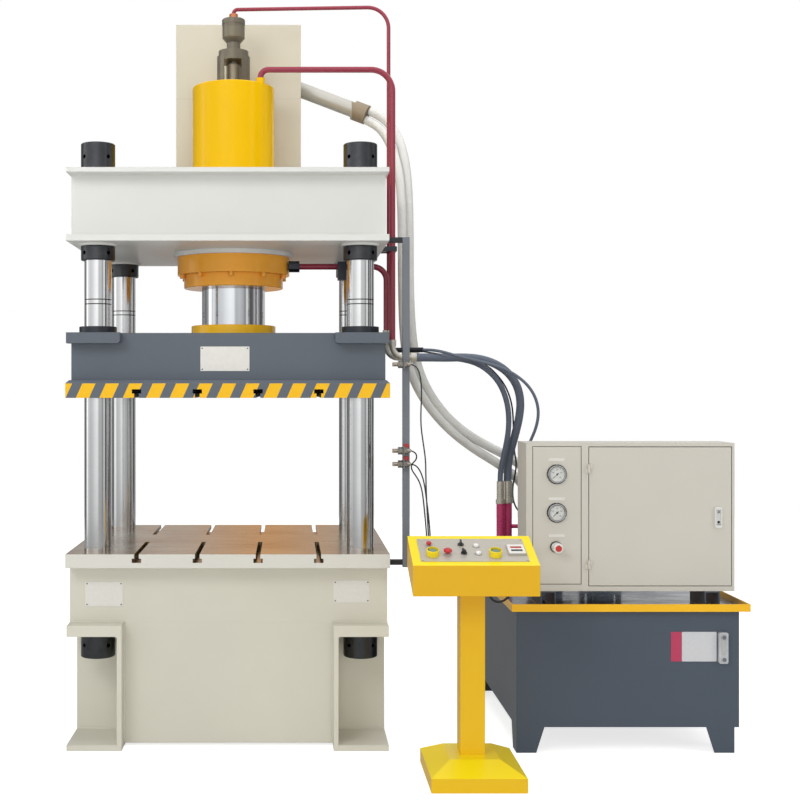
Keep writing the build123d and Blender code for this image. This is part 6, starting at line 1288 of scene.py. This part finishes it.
class PRESS_OT_sensor_nuts(bpy.types.Operator):
    """Fits lock nuts and washers to the three sensors on their tabs"""
    bl_idname = "press.sensor_nuts"
    bl_label = "Sensor nuts"

    def execute(self, context):
        bm = bmesh.new()
        for z in SENSOR_HEIGHTS:
            for x, height in SENSOR_NUTS:
                spot = Matrix.Translation((x, SENSOR_Y, z)) @ Matrix.Rotation(math.pi / 2, 4, "Y")
                hexagon(bm, spot, 0.0290, height, 0, 0.0112)
            for x in SENSOR_WASHERS_X:
                spot = Matrix.Translation((x, SENSOR_Y, z)) @ Matrix.Rotation(math.pi / 2, 4, "Y")
                lathe(bm, ((0.0112, 0.0), (0.0160, 0.0), (0.0160, 0.0022), (0.0112, 0.0022)), spot, 1, 28,
                      cap_start=False, cap_end=False)
        finish_piece("sensor_nuts", bm, "frame",
                     treated_steel("nickel-plated nut", linear("#ABA69B"), 0.3, 1.4, 0.75),
                     treated_steel("zinc-plated washer", linear("#B6B4AE"), 0.3))
        return {"FINISHED"}


class PRESS_OT_lock_frame(bpy.types.Operator):
    """Fits the pale frame and the key barrel to the door's lock"""
    bl_idname = "press.lock_frame"
    bl_label = "Lock frame"

    def execute(self, context):
        x, z = LOCK_PLACE
        bm = bmesh.new()
        outer = rounded_outline(0.0306, 0.0906, 0.0053)
        inner = rounded_outline(0.0194, 0.0672, 0.0012)
        place = front_face(x, LOCK_FACE_Y, z)
        rings = [[place @ Vector((u, v, lift)) for u, v in ring]
                 for ring, lift in ((outer, -0.0088), (outer, 0.0009), (inner, 0.0012), (inner, -0.0004))]
        join_rings(bm, rings, cap_start=False, cap_end=False)
        finish_piece("lock_frame", bm, "door", moulded_abs("moulded lock frame", linear("#DDDCD8"), 0.3))
        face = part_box("door_handle")[0].y
        bm = bmesh.new()
        for rise, slot in ((0.024, 1), (-0.020, 0)):
            lathe(bm, ((0.0058, 0.0), (0.0058, 0.0006), (0.0046, 0.0010), (0.0, 0.0010)),
                  front_face(x, face, z + rise), slot, 24)
        finish_piece("lever_pins", bm, "lock_handle",
                     treated_steel("blackened key barrel", linear("#4A4B4F"), 0.35),
                     treated_steel("bright pivot pin", linear("#C9CACC"), 0.25))
        return {"FINISHED"}


def weld_bead(bm, start, end, first, second, size, pitch=0.006):
    """A fillet weld in the corner between two plates, with the ripples of its passes."""
    start, end, first, second = Vector(start), Vector(end), Vector(first), Vector(second)
    count = max(2, round((end - start).length / pitch)) * 2
    rings = []
    for i in range(count + 1):
        point = start.lerp(end, i / count)
        leg = size * (1.0 if i % 2 else 0.86)
        rings.append([point, point + first * leg, point + (first + second) * leg * 0.62, point + second * leg])
    join_rings(bm, rings)


class PRESS_OT_welds(bpy.types.Operator):
    """Runs the painted weld beads along the base and the crosshead"""
    bl_idname = "press.welds"
    bl_label = "Welds"

    def execute(self, context):
        paints = context.scene.press_paints
        bm = bmesh.new()
        for side in (-1, 1):
            y = side * WEB_FACE_Y
            for z, up in ((CROSSHEAD_TOP - 0.020, -1), (CROSSHEAD_FLOOR, 1)):
                weld_bead(bm, (-WEB_HALF_X, y, z), (WEB_HALF_X, y, z), (0, side, 0), (0, 0, up), 0.006)
        finish_piece("crosshead_welds", bm, "frame", sprayed_enamel("enamel on crosshead weld",
                                                                    paints.crosshead, 0.32))
        bm = bmesh.new()
        for side, end in CORNERS:
            y = end * WEB_FACE_Y
            x = side * POCKET_X
            weld_bead(bm, (x, y, POCKET_TOP), (side * 0.695, y, POCKET_TOP), (0, end, 0), (0, 0, 1), 0.007)
            weld_bead(bm, (x, y, 0.03), (x, y, POCKET_TOP), (0, end, 0), (-side, 0, 0), 0.007)
            weld_bead(bm, (side * 0.478, end * 0.305, 0.025), (side * 0.690, end * 0.305, 0.025),
                      (0, end, 0), (0, 0, 1), 0.007)
        finish_piece("base_welds", bm, "frame", sprayed_enamel("enamel on base weld", paints.base, 0.34))
        return {"FINISHED"}


class PRESS_OT_slot_stops(bpy.types.Operator):
    """Puts a black stop half-way along each T-slot of the platen, where tee bolts end"""
    bl_idname = "press.slot_stops"
    bl_label = "Slot stops"

    def execute(self, context):
        bm = bmesh.new()
        for x in PLATEN_SLOTS_X:
            rings = [[Vector((x + u, y, z)) for u, z in SLOT_OUTLINE] for y in (0.012, -0.012)]
            join_rings(bm, rings)
        finish_piece("slot_stops", bm, "press_slide", moulded_abs("moulded stop", linear("#1D1D1F"), 0.6))
        return {"FINISHED"}


STEPS = (PRESS_OT_camera, PRESS_OT_hoses, PRESS_OT_return_hoses, PRESS_OT_cables, PRESS_OT_studio,
         PRESS_OT_paints, PRESS_OT_metals, PRESS_OT_mouldings, PRESS_OT_plates, PRESS_OT_gauges,
         PRESS_OT_knob, PRESS_OT_pedestal, PRESS_OT_sight_glass, PRESS_OT_mast_clips,
         PRESS_OT_sensor_nuts, PRESS_OT_lock_frame, PRESS_OT_welds, PRESS_OT_slot_stops)


class PRESS_PT_panel(bpy.types.Panel):
    """The press's pieces, in the order in which they are made"""
    bl_idname = "PRESS_PT_panel"
    bl_label = "Column press"
    bl_space_type = "VIEW_3D"
    bl_region_type = "UI"
    bl_category = "Press"

    def draw(self, context):
        for group in (context.scene.press_paints, context.scene.press_sizes):
            box = self.layout.box()
            for name in group.bl_rna.properties.keys():
                if name not in ("rna_type", "name"):
                    box.prop(group, name)
        for step in STEPS:
            self.layout.operator(step.bl_idname)


CLASSES = (PressPaints, PressSizes) + STEPS + (PRESS_PT_panel,)


def register():
    for made in CLASSES:
        bpy.utils.register_class(made)
    bpy.types.Scene.press_paints = PointerProperty(type=PressPaints)
    bpy.types.Scene.press_sizes = PointerProperty(type=PressSizes)


def unregister():
    del bpy.types.Scene.press_sizes
    del bpy.types.Scene.press_paints
    for made in reversed(CLASSES):
        bpy.utils.unregister_class(made)


def main():
    register()
    for step in STEPS:
        group, action = step.bl_idname.split(".")
        getattr(getattr(bpy.ops, group), action)()


if __name__ == "__main__":
    main()
